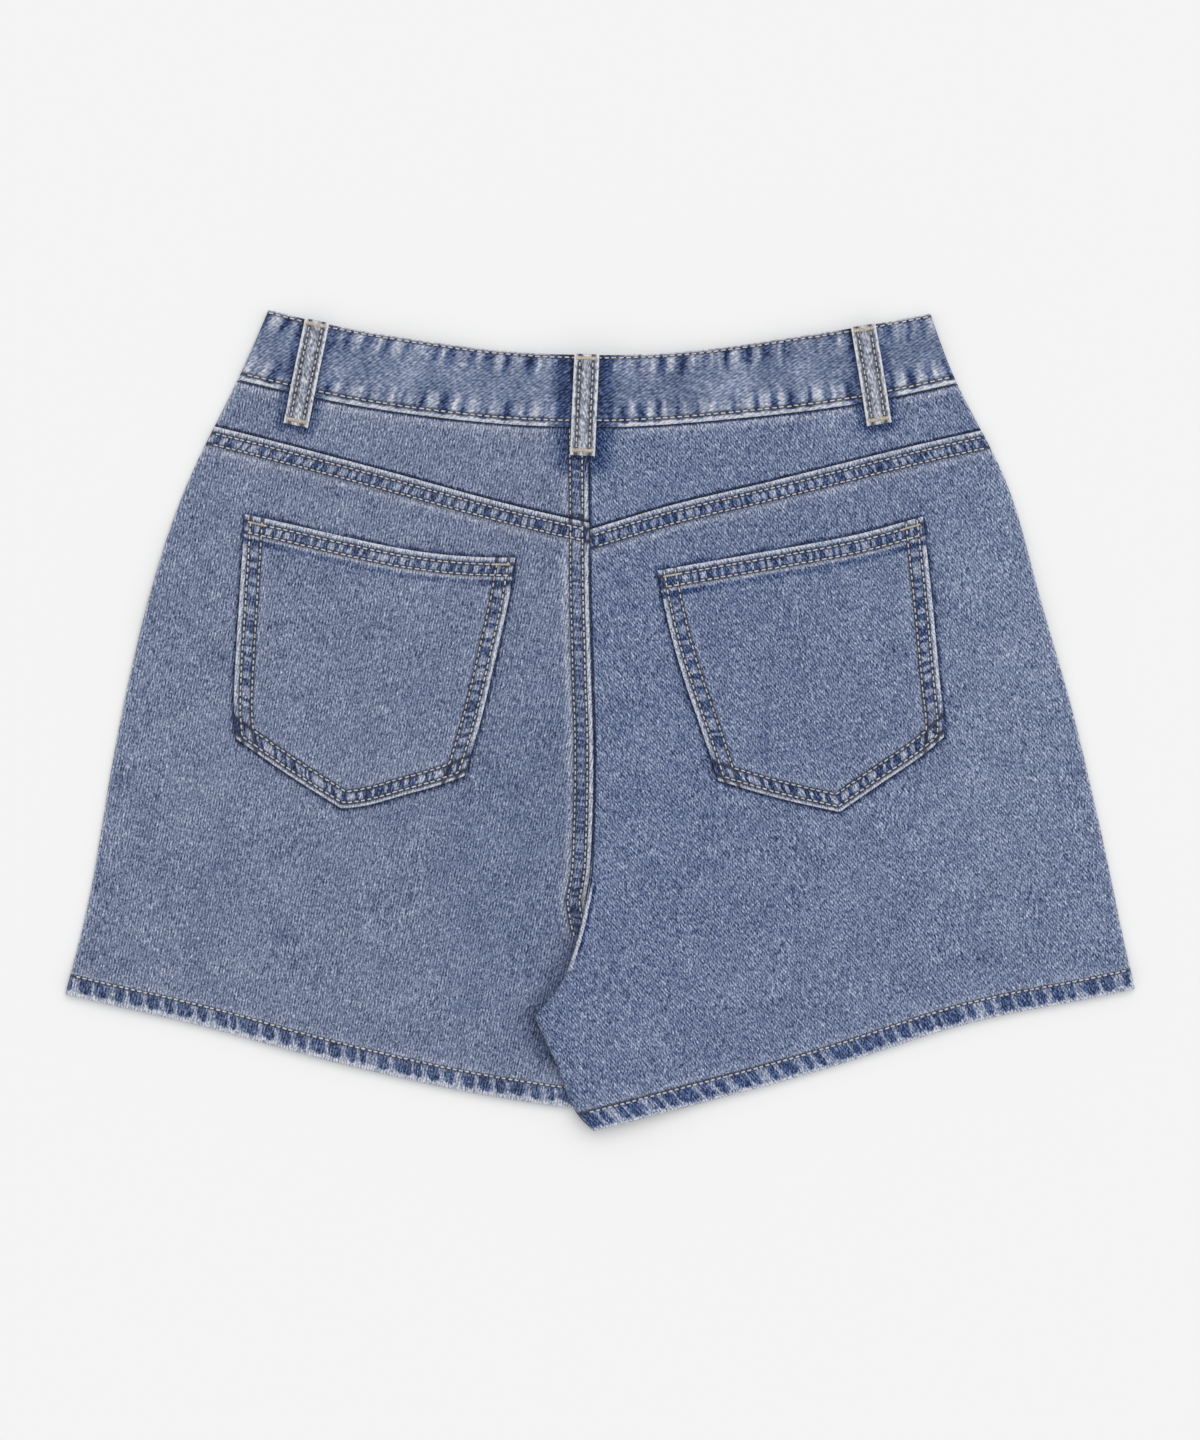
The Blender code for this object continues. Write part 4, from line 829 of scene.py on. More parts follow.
def plain(name, colour, roughness, metallic=0.0, grime=None, scale=400.0):
    """A single-coloured finish, with a second colour clouded into it where grime is given."""
    material, tree, shader = new_material(name, Base_Color=linear(colour), Roughness=roughness,
                                          Metallic=metallic)
    if grime:
        place = add_node(tree, "ShaderNodeTexCoord").outputs["Object"]
        clouds = add_node(tree, "ShaderNodeTexNoise", {
            "Vector": place, "Scale": scale, "Detail": 3.0, "Roughness": 0.6}).outputs["Fac"]
        soiled = add_node(tree, "ShaderNodeValToRGB", {0: clouds}, ((0.35, grime), (0.6, colour)))
        tree.links.new(soiled.outputs[0], shader.inputs["Base Color"])
    return material


# Both back legs are cut on opposite grain, so their diagonals lean and wear differently.
left_denim = denim("stone_washed_denim_left", 78, 81, twill=0.23, speck=0.88, specks_per_mm=1.9,
                   streak=0.7, cloud=0.2, wear=0.45, blue=0.97)
right_denim = denim("stone_washed_denim_right", 132, 99, twill=0.22, speck=0.88, specks_per_mm=1.9,
                    streak=0.85, cloud=0.18, wear=0.452, blue=1.08)
band_denim = denim("stone_washed_denim_waistband", 34, 4, twill=0.19, speck=0.7, cloud=0.7,
                   wear=0.465, blue=1.0)
loop_denim = denim("worn_denim_belt_loops", 112, 90, twill=0.15, streak=0.8, wear=0.59, blue=0.6)
# The inner side of the cloth: white weft lies on top, blue shows between, and neither the seams' wear
# nor the painted shade shows on it.
reverse_denim = denim("reverse_side_of_denim", 46, 90, twill=0.3, wear=0.72, blue=0.8, marks=0.0)
# Core-spun polyester topstitching thread, washed to a matt pale grey, with dirt in its twist.
thread_cream = plain("washed_topstitching_thread", "#C6C6CB", 0.8, grime="#A0A0A6", scale=900.0)
# The same thread in tan, for the bar tacks.
thread_tan = plain("tan_bar_tack_thread", "#CABFB0", 0.8, grime="#A1968A", scale=900.0)
# Cast brass, tumbled and aged: satin yellow-brown metal, darker in its hollows.
brass = plain("aged_brass", "#A88C60", 0.38, metallic=1.0, grime="#6E5638", scale=260.0)
# Woven polyester zip tape: dull navy.
tape = plain("navy_zip_tape", "#1C2640", 0.85, grime="#141B30", scale=500.0)


# ---- Making the cloth ----------------------------------------------------------------------
garment = bpy.data.collections.new("denim_shorts_looks")
bpy.context.scene.collection.children.link(garment)
trees = {}      # the outer face of each cloth, for the stitches to find


def mesh_object(name, points, faces, material, smooth=True):
    """An object from points in millimetres."""
    data = bpy.data.meshes.new(name)
    data.from_pydata((np.asarray(points) * MM).tolist(), [], faces)
    data.materials.append(material)
    if smooth:
        data.shade_smooth()
    obj = bpy.data.objects.new(name, data)
    garment.objects.link(obj)
    return obj


def joined(first, second):
    """One sheet from two that share a column of points, with all that is known of each."""
    whole = Cloth(first.x, first.y)
    for key, value in vars(first).items():
        setattr(whole, key, np.concatenate([value[:-1], vars(second)[key]]))
    return whole


def turned(cloth):
    """The same sheet with its columns in the other order."""
    other = Cloth(cloth.x, cloth.y)
    for key, value in vars(cloth).items():
        setattr(other, key, value[::-1])
    return other


def cloth_piece(name, cloth, z, material, wall=CLOTH, fold=None, opening=None):
    """A shell of cloth from the points of its outer face, with its wear and painted shade as
    attributes.

    opening is a slot in it: its ranges in x and y, and the height that it lies below.
    """
    columns, rows = cloth.x.shape
    points = np.stack([cloth.x, cloth.y, z], -1).reshape(-1, 3)
    index = np.arange(columns * rows).reshape(columns, rows)
    faces = np.stack([index[:-1, :-1], index[:-1, 1:], index[1:, 1:], index[1:, :-1]], -1)
    faces = faces.reshape(-1, 4)
    if opening:
        x_range, y_range, below = opening
        x, y, height = points[faces].mean(axis=1).T
        away = box_distance(x, y, x_range, y_range)
        faces = faces[(away > 0) | (height >= below)]
    obj = mesh_object(name, points, faces.tolist(), material)
    data = obj.data
    data.materials.append(reverse_denim)
    for key in ("dye_and_shade", "painted_shade", "along", "across", "mottle", "beat", "spread"):
        data.attributes.new(key, "FLOAT", "POINT").data.foreach_set("value", vars(cloth)[key].ravel())
    solid = obj.modifiers.new("wall", "SOLIDIFY")
    solid.offset = -1.0
    solid.material_offset = 1
    solid.thickness = wall * MM
    if fold is not None:
        group = obj.vertex_groups.new(name="folded")
        weights = np.round(np.clip(fold, 0, 1).ravel(), 2)
        for level in np.unique(weights):
            group.add(np.nonzero(weights == level)[0].tolist(), float(level), "REPLACE")
        solid.thickness = (wall + FOLD) * MM
        solid.vertex_group = group.name
        solid.thickness_vertex_group = wall / (wall + FOLD)
    trees[name] = BVHTree.FromPolygons([Vector(p) for p in points.tolist()], faces.tolist())
    if opening:
        shell = bmesh.new()
        shell.from_mesh(data)
        loose = [v for v in shell.verts if not v.link_faces]
        bmesh.ops.delete(shell, geom=loose, context="VERTS")
        shell.to_mesh(data)
        shell.free()
    return obj


# ---- Back ----------------------------------------------------------------------------------
HEM_STOPS = stitched_stops(HEM_DEPTH, (HEM_ROW,), 1.8)
YOKE_STOPS = stitched_stops(YOKE_BAND, YOKE_ROWS, 2.6)
SEAT_STOPS = stitched_stops(SEAT_BAND + 1.4, SEAT_ROWS, 2.6)
POCKET_STOPS = stitched_stops(POCKET_BAND + 1.2, POCKET_SIDE_ROWS, 2.2)
MOUTH_STOPS = stitched_stops(POCKET_HEM, MOUTH_ROWS, 2.8)


def hem_wear(cloth, seed, slant, worn):
    """Broad dark patches between narrow pale gaps, which end round, short of the frayed edge."""
    spread = 0.6 - 1.6 * near(cloth.to_bottom, worn + 0.7, 2.8)
    cloth.topstitch(cloth.to_bottom, cloth.along_bottom, (HEM_ROW,), worn, (2.4, 9.2), seed,
                    edge=1.9, fade=3.0, halo=0.1, dark=0.55, light=-0.5, period=8.9, slant=slant,
                    pucker=0.4, spread=spread)
    past_row = within(cloth.to_bottom, HEM_ROW + 0.8, HEM_ROW + 1.5, 0.4)
    cloth.painted_shade = cloth.painted_shade * (1 - 0.6 * past_row)
    cloth.dye_and_shade = cloth.dye_and_shade - 0.3 * past_row


def seat_wear(cloth, side, seed):
    """The felled seat seam: stitched on the left half, which laps over the right one."""
    to_seat = cloth.across_leg(side)[1]
    if side == "left":
        cloth.topstitch(to_seat, cloth.down_right, SEAT_ROWS, 2.9, (4.4, 8.8), seed, dark=0.5,
                        light=-0.15, halo=0.45, period=5.0, slant=0.0, pucker=0.2,
                        strength=near(-cloth.y, 110, 6))
        # Painted shadow: a dark line along the left half's edge where it laps over the right half
        cloth.lay_dye_and_shade(1.0, near(to_seat, 0.2, 0.7) * near(-cloth.y, 90, 6))
    else:
        cloth.shade_line(to_seat + 30 * (cloth.y < CROSSING), 0.95, 0.3, 1.3)


def seat_fold(cloth, side):
    """Thickness that the fell of the seat seam adds; it thins out towards the crotch."""
    if side == "right":
        return 0 * cloth.x
    return fell(cloth.to_right, SEAT_BAND) * near(-cloth.y, 48, 40)


def loop_shadows(cloth):
    """Indigo that the loops kept from the wash: dark wedges beside their feet."""
    for name, foot, head in BACK_LOOPS:
        away = strap_distance(cloth.x, cloth.y, foot, head)
        amount, wide = (0.8, 12.0) if name == "centre" else (0.6, 4.5)
        dark = amount * near(away, 1.5, wide)
        cloth.dye_and_shade = np.maximum(cloth.dye_and_shade, np.where(dark > 0.02, dark, -1.0))


def back_leg(side, material):
    """A back leg panel under its yoke and pocket: felled yoke and seat seams, and a turned hem."""
    left = side == "left"
    outer_end, seat_end = (0, -1) if left else (-1, 0)
    yoke = yokes[side]
    seat = seat_seam.part(1, yoke.points[seat_end][1])
    outer = sides[side].part(1, yoke.points[outer_end][1])
    if left:
        edges = outer, seat.then(under_inner)
    else:
        edges = seat.then(top_inner).moved(GAP + SLACK), outer
    columns, rows = (int(size / FINE) for size in BACK_LEG)
    cloth = Patch(yoke, hems[side], *edges).grid(columns, rows, left=ROLL_STOPS,
                                                 right=SEAT_STOPS if left else ROLL_STOPS,
                                                 top=YOKE_STOPS, bottom=HEM_STOPS)
    to_outer, to_inner = cloth.across_leg(side)
    x, y = cloth.x, cloth.y
    fold = np.maximum.reduce([fell(cloth.to_top, YOKE_BAND), fell(cloth.to_bottom, HEM_DEPTH),
                              seat_fold(cloth, side)])
    seat_wear(cloth, side, 11)
    if not left:
        crotch = near(to_inner, 1.4, 0.7) * within(y, -122, CROSSING, 12)
        cloth.lay_dye_and_shade(-1.4, crotch)
        # Painted shadow of the seam line: a dark line just inside the pale worn edge
        cloth.lay_dye_and_shade(1.1, within(to_inner, 2.3, 3.0, 0.7) * within(y, -118, CROSSING + 4, 10))
    slant, period = (0.3, 5.7) if left else (-0.1, 4.9)
    cloth.topstitch(cloth.to_top, cloth.along_top, YOKE_ROWS, 2.3, (4.5, 8.5), 21 + left,
                    slant=slant, period=period, dark=0.7, light=-0.4)
    slant, worn = (0.25, 0.9) if left else (0.05, 0.3)
    hem_wear(cloth, 31 + left, slant, worn)
    cloth.dye_and_shade = cloth.dye_and_shade + washed(x, y)
    cloth.dye_and_shade = cloth.dye_and_shade - 0.4 * near(to_outer, 0.4, 1.8)
    # Painted shadow round the pocket's edge
    cloth.shade_line(pocket_outline(side).distance(x, y), 0.9, 0.5, 2.2)
    if left:
        # Painted shadow that the right leg's raised edge casts on the left leg, in the dye and the
        # painted shade
        beside = top_inner.x_at(y) - x
        shadow = near(np.abs(beside), 1.0, 12.0) * within(y, -172, -98, 16)
        cloth.dye_and_shade = cloth.dye_and_shade + 0.25 * shadow
        cloth.painted_shade = np.maximum(cloth.painted_shade, 0.45 * shadow)
    z = back_height(x, y, side) + CLOTH + FOLD * fold + cloth.dent
    middle = (front_face(x, y, side) + z) / 2 + SIDE_GAP / 2
    z = rolled_leg(z, middle, cloth, side)
    return cloth_piece(f"back_leg_{side}", cloth, z, material, fold=fold)


def pocket_outline(side):
    """A back pocket's whole edge as one line."""
    lines = pocket_lines[side]
    foot = lines["foot_left"].then(lines["foot_right"])
    return lines["mouth"].then(lines["right"]).then(foot.reversed()).then(lines["left"].reversed())


def yoke_piece(side, material):
    """The yoke between the waistband and a back leg, with what the loops kept dark on it."""
    left = side == "left"
    outer_end, seat_end = (0, -1) if left else (-1, 0)
    waist = half(waist_seam, side, BACK_END[side]).moved(-GAP - SLACK)
    yoke = yokes[side].moved(GAP)
    outer = sides[side].part(1, waist.points[outer_end][1], yoke.points[outer_end][1])
    seat = seat_seam.part(1, last=yoke.points[seat_end][1])
    if left:
        edges, stops = (outer, seat), {"left": ROLL_STOPS, "right": SEAT_STOPS}
    else:
        edges, stops = (seat.moved(GAP), outer), {"left": NEAR_EDGE, "right": ROLL_STOPS}
    cloth = Patch(waist, yoke, *edges).grid(int(HALF_WAIST / FINE), 20, top=NEAR_EDGE,
                                            bottom=NEAR_EDGE, **stops)
    to_outer = cloth.across_leg(side)[0]
    fold = seat_fold(cloth, side)
    seat_wear(cloth, side, 12)
    cloth.dye_and_shade = cloth.dye_and_shade - 0.4 * within(cloth.to_top, 1.8, 3.6, 1.4) - 0.4 * near(to_outer, 0.4, 1.8)
    # Painted shadow lines under the waistband's edge and beside the yoke seam's lap
    cloth.shade_line(cloth.to_top, 0.9, 0.4, 1.2)
    cloth.shade_line(cloth.to_bottom, 0.95, 0.6, 1.8)
    loop_shadows(cloth)
    cloth.dye_and_shade = cloth.dye_and_shade + washed(cloth.x, cloth.y)
    z = back_height(cloth.x, cloth.y, side) + CLOTH + FOLD * fold + cloth.dent
    middle = (front_face(cloth.x, cloth.y, side) + z) / 2 + SIDE_GAP / 2
    return cloth_piece(f"yoke_cloth_{side}", cloth, rolled(z, middle, to_outer), material, fold=fold)


def patch_pocket(side, material):
    """A five-sided pocket sewn onto the back, with a turned mouth and its edges folded in."""
    lines = pocket_lines[side]
    foot = lines["foot_left"].then(lines["foot_right"])
    cloth = Patch(lines["mouth"], foot, lines["left"], lines["right"]).grid(
        int(POCKET / FINE), int(POCKET / FINE), left=POCKET_STOPS, right=POCKET_STOPS,
        bottom=POCKET_STOPS, top=MOUTH_STOPS)
    folded = cloth.to_left, cloth.to_right, cloth.to_bottom
    fold = np.maximum.reduce([fell(cloth.to_top, POCKET_HEM)]
                             + [fell(distance, POCKET_BAND) for distance in folded])
    to_edge = np.minimum.reduce([cloth.to_top, *folded])
    fold = np.minimum(fold, 0.5 + 0.5 * ease(to_edge / FOLD_ROUND))
    seed, period, slant = (51, 5.5, 0.3) if side == "left" else (61, 5.0, 0.0)
    under_hem = within(cloth.to_top, POCKET_HEM + 1.3, POCKET_HEM + 3.0, 1.1)
    corner = np.maximum(near(cloth.to_left, 12, 14), near(cloth.to_right, 10, 12))
    down = {"dark": 0.55, "light": -0.35, "period": 7.0}
    round_foot = {"dark": 0.8, "light": -0.5, "period": 6.0}
    for step, (distance, run, rows, look) in enumerate((
            (cloth.to_left, cloth.down_left, POCKET_SIDE_ROWS, down),
            (cloth.to_right, cloth.down_right, POCKET_SIDE_ROWS, down),
            (cloth.to_bottom, cloth.along_bottom, POCKET_FOOT_ROWS, round_foot))):
        cloth.topstitch(distance, run, rows, rows[0] - 1.0, (rows[0] + 0.9, rows[1] - 0.9),
                        seed + step, halo=0.15, slant=0.2, pucker=0.2, **look)
    cloth.topstitch(cloth.to_top, cloth.along_top, MOUTH_ROWS, 2.3, (4.5, 8.2), seed + 4,
                    halo=0.5, dark=0.65, light=-0.45, period=period, slant=slant)
    cloth.dye_and_shade = cloth.dye_and_shade - 0.35 * within(cloth.to_top, 9.9, 10.9, 0.6)
    cloth.lay_dye_and_shade(0.8, under_hem * (0.55 + 0.4 * corner))
    cloth.dye_and_shade = cloth.dye_and_shade + washed(cloth.x, cloth.y)
    z = back_height(cloth.x, cloth.y, side) + CLOTH + GAP + SLACK + POCKET_CLOTH + FOLD * fold
    return cloth_piece(f"patch_pocket_{side}", cloth, z + cloth.dent, material, wall=POCKET_CLOTH,
                       fold=fold)


# ---- Waistband and loops -------------------------------------------------------------------
def band_wear(cloth, seed):
    """Puckers along both edges of the waistband, pale on their crowns, dark between them."""
    at_top = cloth.along_top + 0.15 * cloth.to_top
    at_foot = cloth.along_bottom - 0.1 * cloth.to_bottom
    upper = uneven_patches(seed, (3.2, 6.0), (3.6, 7.5))(at_top)
    lower = uneven_patches(seed + 1, (3.0, 5.4), (4.0, 7.4))(at_foot)
    cloth.mottle = 0.3 * near(cloth.to_top, 6.0, 9.0) + 0.3 * near(cloth.to_bottom, 8.5, 8.0)
    cloth.beat = np.where(cloth.to_top < 14, at_top, at_foot + 300) / BAND_PERIOD + 40 * seed
    cloth.dye_and_shade = cloth.dye_and_shade + 1.5 * (upper - 0.33) * near(cloth.to_top, 4.0, 10.0)
    cloth.dye_and_shade = cloth.dye_and_shade + 1.7 * (lower - 0.36) * near(cloth.to_bottom, 7.0, 9.0)
    cloth.dent = cloth.dent + 0.3 * (0.5 - upper) * near(cloth.to_top, 3, 8)
    cloth.dent = cloth.dent + 0.3 * (0.5 - lower) * near(cloth.to_bottom, 4, 8)
    for distance, run, row, pale, shadow in (
            (cloth.to_top, cloth.along_top, WAIST_TOP_ROW, WAIST_TOP_EDGE, 0.35),
            (cloth.to_bottom, cloth.along_bottom, WAIST_FOOT_ROW, WAIST_FOOT_EDGE, 0.7)):
        cloth.lay_dye_and_shade(-1.5, near(distance, pale, 0.6))
        cloth.mottle = cloth.mottle * ease((distance - row + 0.6) / 0.6)
        cloth.painted_shade = np.maximum(cloth.painted_shade, near(np.abs(distance - row), shadow, 0.8))
        cloth.dent = cloth.dent - 0.3 * near(np.abs(distance - row), 0.2, 1.4)
        here = distance < 7
        cloth.along = np.where(here, run, cloth.along)
        cloth.across = np.where(here, distance, cloth.across)


def waistband_piece(side, material):
    """Half of the waistband, from the back round the side to the tab or the underlap."""
    left = side == "left"
    inner_end, outer_end = (-1, 0) if left else (0, -1)
    side_line = sides[side].part(1, last=waist_seam.points[outer_end][1])
    halves = []
    for top, bottom, end, step in ((waist_top, waist_seam, BACK_END[side], 1.5),
                                   (front_top, front_seam, TAB_END if left else UNDERLAP_END, 2.2)):
        top, bottom = half(top, side, end), half(bottom, side, end)
        middle_line = Line((top.points[inner_end], bottom.points[inner_end]))
        edges = (side_line, middle_line) if left else (middle_line, side_line)
        cloth = Patch(top, bottom, *edges).grid(int(HALF_WAIST / step), 20, top=WAIST_TOP_STOPS,
                                                bottom=WAIST_FOOT_STOPS, **{side: ROLL_STOPS})
        band_wear(cloth, 71 + 4 * left + len(halves))
        halves.append(cloth)
    back, front = halves
    loop_shadows(back)
    down = PRESSED_EDGE * (2 - ease(back.to_top / 0.8) - ease(back.to_bottom / 0.8))
    back_z = back_height(back.x, back.y, side) + BAND - down + back.dent
    front_z = front_face(front.x, front.y, side) - 0.6 * np.minimum(front.dent, 0)
    if not left:
        front_z = front_z + (BAND + GAP) * ease((TAB_END + 30 - front.x) / 20)
    heights = []
    for sheet, z in ((back, back_z), (front, front_z)):
        lowest = front_face(sheet.x, sheet.y, side)
        middle = (back_inner(sheet.x, sheet.y, side) + BAND + lowest) / 2
        heights.append(rolled(z, middle, sheet.across_leg(side)[0]))
    back_z, front_z = heights
    if left:
        sheet = joined(turned(front), back)
        z = np.concatenate([front_z[::-1][:-1], back_z])
    else:
        sheet = joined(back, turned(front))
        z = np.concatenate([back_z[:-1], front_z[::-1]])
    slot = (SLOT_X, SLOT_Y, 6.0) if left else None
    return cloth_piece(f"waistband_cloth_{side}", sheet, z, material, wall=BAND, opening=slot)


def belt_loop_piece(name, foot, head, on_back, material):
    """A folded strap, stitched down both sides and tacked at both ends."""
    length, along, across = strap_axes(foot, head)
    middle = LOOP_WIDTH / 2
    runs = np.concatenate([[0, 0.3, 0.8, 1.6, 2.6], np.linspace(3.6, length - 3.6, 34),
                           length - np.array([2.6, 1.6, 0.8, 0.3, 0])])
    offsets = np.array([0, 0.25, 0.7, 1.3, 2.0, 2.6, 3.1, 3.6, 4.3, 5.4, 6.5])
    offsets = np.concatenate([offsets - middle, (middle - offsets)[::-1][1:]])
    run, off = np.meshgrid(runs[::-1], offsets)
    if not on_back:
        across = -across        # it is looked at from below
    x, y = (foot[k] + run * along[k] + off * across[k] for k in (0, 1))
    edge = middle - np.abs(off)
    to_row = np.abs(np.abs(off) - LOOP_ROW)
    to_end = np.minimum(run, length - run)
    cloth = Cloth(x, y)
    cloth.along, cloth.across = run, edge
    cloth.painted_shade = near(to_row, 0.8, 0.7)
    cloth.dent = -0.22 * near(to_row, 0.2, 1.3)
    cloth.mottle = 0.2 * within(edge, LOOP_ROW - 0.6, 9, 1.0)
    cloth.beat = (run + 0.6 * off) / 6 + 11 * foot[0]
    cloth.dye_and_shade = -1.1 * near(edge, 0.7, 0.9) - 0.15 * near(np.abs(off), 1.2, 0.8)
    cloth.dye_and_shade = np.where(to_end < 5, cloth.dye_and_shade - 0.5 * near(to_end, 2.4, 1.6), cloth.dye_and_shade)
    if not on_back:
        z = 0.2 * near(edge, 0.0, 0.5)
        return cloth_piece(name, cloth, z, material, wall=LOOP_CLOTH - 2 * SLACK)
    arch = LOOP_ARCH * np.sin(math.pi * run / length) ** 2
    rim = 0.4 * (1 - np.minimum(ease(edge / 0.7), ease(to_end / 0.7)))
    under = 0.5 * np.maximum(ease((9 - run) / 6), ease((run - length + 9) / 6)) * (1 - rim)
    z = loop_ground(x, y) + 2 * GAP + arch + LOOP_CLOTH + FOLD * under - rim + cloth.dent
    return cloth_piece(name, cloth, z, material, wall=LOOP_CLOTH, fold=under)


def loop_ground(x, y):
    """Outer face of the back under a belt loop: the yoke, then the thicker waistband."""
    on_band = ease((y - waist_seam.y_at(x) + 5.5) / 5)
    on_seat = near(np.abs(x - seat_seam.x_at(y) + SEAT_BAND / 2), SEAT_BAND / 2 + 1, 3)
    side = "left" if np.mean(x) < 0 else "right"
    return back_height(x, y, side) + CLOTH + FOLD * np.maximum(on_band, on_seat)


# ---- Front ---------------------------------------------------------------------------------
def front_relief(x, y, side):
    """Creases of the front, which stand off the table and leave the rest of it flat."""
    clear = ease((above_hem(x, y, side) - 16) / 20)
    return np.maximum(creased(x, y, FRONT_CREASES), 0) * clear


def fly_row(inset):
    """The row that holds the fly facing, or one further in: straight, then round to the centre."""
    across, down = (radius - inset for radius in FLY_RADII)
    bend = [(FLY_BEND[0] - across * math.cos(turn), FLY_BEND[1] - down * math.sin(turn))
            for turn in np.linspace(0, math.pi / 2, 13)]
    return Line([(bend[0][0], FLY_ROW_TOP)] + bend, smooth=False)


def front_leg(side, material):
    """A front leg panel, cut out for its scoop pocket; the left one carries the fly's rows."""
    left = side == "left"
    scoop = scoops[side]
    seam = front_seam.moved(-GAP)
    outer = sides[side].part(1, scoop.points[-1][1])
    scoop_top = scoop.points[0][0]
    if left:
        waist = seam.part(0, scoop_top, 0.0)
        inner = Line([waist.points[-1], *front_centre.points[4:]], smooth=False)
        edges = scoop.reversed().then(waist), hems[side], outer, inner.then(under_inner)
    else:
        waist = seam.part(0, GAP, scoop_top)
        inner = Line([waist.points[0], *front_centre.moved(TOUCH).points[4:]], smooth=False)
        edges = waist.then(scoop), hems[side], inner.then(top_inner.moved(TOUCH)), outer
    columns, rows = (int(size / COARSE) for size in FRONT_LEG)
    cloth = Patch(*edges).grid(columns, rows, left=ROLL_STOPS, right=ROLL_STOPS, bottom=HEM_STOPS)
    x, y = cloth.x, cloth.y
    fold = near(cloth.to_bottom, HEM_DEPTH - FELL_SLOPE, FELL_SLOPE)
    reach = scoop.length * np.clip((np.abs(x) - SCOOP_RUN[0]) / SCOOP_RUN[1], 0, 1)
    cloth.topstitch(scoop.distance(x, y), reach, SCOOP_ROWS, 1.4, (3.0, 7.4), 81 + left, pucker=0.0)
    hem_wear(cloth, 83 + left, 0.34, 0.9)
    # Painted shadow beside the inner edge and under the waistband
    cloth.shade_line(cloth.across_leg(side)[1] + 40 * (y < CROSSING), 0.9, 0.6, 1.6)
    cloth.shade_line(front_seam.y_at(x) - y, 0.9, 0.8, 2.0)
    if left:
        for inset in FLY_INSETS:
            beside_row = fly_row(inset).distance(x, y)
            cloth.painted_shade = np.maximum(cloth.painted_shade, near(beside_row, 0.55, 0.9))
            cloth.dent = cloth.dent - ROW_DENT * near(beside_row, 0.4, 2.2)
            cloth.dye_and_shade = cloth.dye_and_shade - 0.4 * within(beside_row, 2.0, 3.4, 1.6)
    bottom = front_face(x, y, side) + front_relief(x, y, side) - 1.6 * np.minimum(cloth.dent, 0)
    top_face = back_inner(x, y, side) + CLOTH + FOLD * fold
    middle = (bottom + top_face) / 2 - SIDE_GAP / 2
    z = rolled_leg(bottom, middle, cloth, side)
    return cloth_piece(f"front_leg_{side}", turned(cloth), z[::-1], material, fold=fold[::-1])


def pocket_facing(side, material):
    """The cloth in a front pocket's opening; it is slipped under the front, but not at the side."""
    left = side == "left"
    scoop = scoops[side]
    end_gap = 0.9
    depth = (FACING_TUCK + end_gap) * ease((scoop.length - scoop.reach - 13) / 18) - end_gap
    under = scoop.moved(depth if left else -depth)
    seam = front_seam.moved(-GAP)
    start = under.points[0][0]
    outer = sides[side].part(1, seam.points[0 if left else -1][1], under.points[-1][1])
    first, second = under.between(0, 0.5), under.between(0.5, 1)
    first = Line([seam.at(seam.fraction_at(0, start)), *first.points[3:]], smooth=False)
    second = Line([*second.points[:-3], outer.points[-1]], smooth=False)
    if left:
        edges = seam.part(0, last=start), second.reversed(), outer, first
    else:
        edges = seam.part(0, start), second, first, outer
    cloth = Patch(*edges).grid(26, 30, **{side: ROLL_STOPS})
    x, y = cloth.x, cloth.y
    to_outer = cloth.across_leg(side)[0]
    # Painted shadow under the scoop's edge
    cloth.shade_line(np.maximum(scoop.distance(x, y) - 0.5, 0), 0.8, 0.8, 3.0)
    tuck = near(under.distance(x, y), 15.5, 9) * ease((to_outer - 4) / 8)
    bottom = front_face(x, y, side)
    middle = (bottom + back_inner(x, y, side) + CLOTH) / 2 - SIDE_GAP / 2
    z = rolled(bottom, middle, to_outer)
    z = np.maximum(z, bottom + (CLOTH + GAP + 2 * SLACK) * tuck)
    return cloth_piece(f"pocket_facing_{side}", turned(cloth), z[::-1], material)


def inner_strip(name, x_range, y_range, above, wall, material):
    """An upright strip inside the fly, above the front's outer face."""
    across, along = np.linspace(*x_range, 12)[::-1], np.linspace(*y_range, 60)[::-1]
    x, y = np.meshgrid(across, along, indexing="ij")
    cloth = Cloth(x, y)
    cloth.along = y
    return cloth_piece(name, cloth, front_face(x, y, "left") + above, material, wall=wall)


# ---- Thread --------------------------------------------------------------------------------
STATIONS = np.array([0.0, 0.16, 0.5, 0.84, 1.0])        # rings along a stitch, as fractions
LIFTS = np.array([-0.42, 0.08, 0.2, 0.08, -0.42])       # how high each ring stands on the cloth
TACK_LIFTS = np.array([-0.1, 0.22, 0.34, 0.22, -0.1])
GIRTHS = np.array([0.6, 0.95, 1.0, 0.95, 0.6])          # and its share of the thread's radius
RING = 6                                                # points in a ring


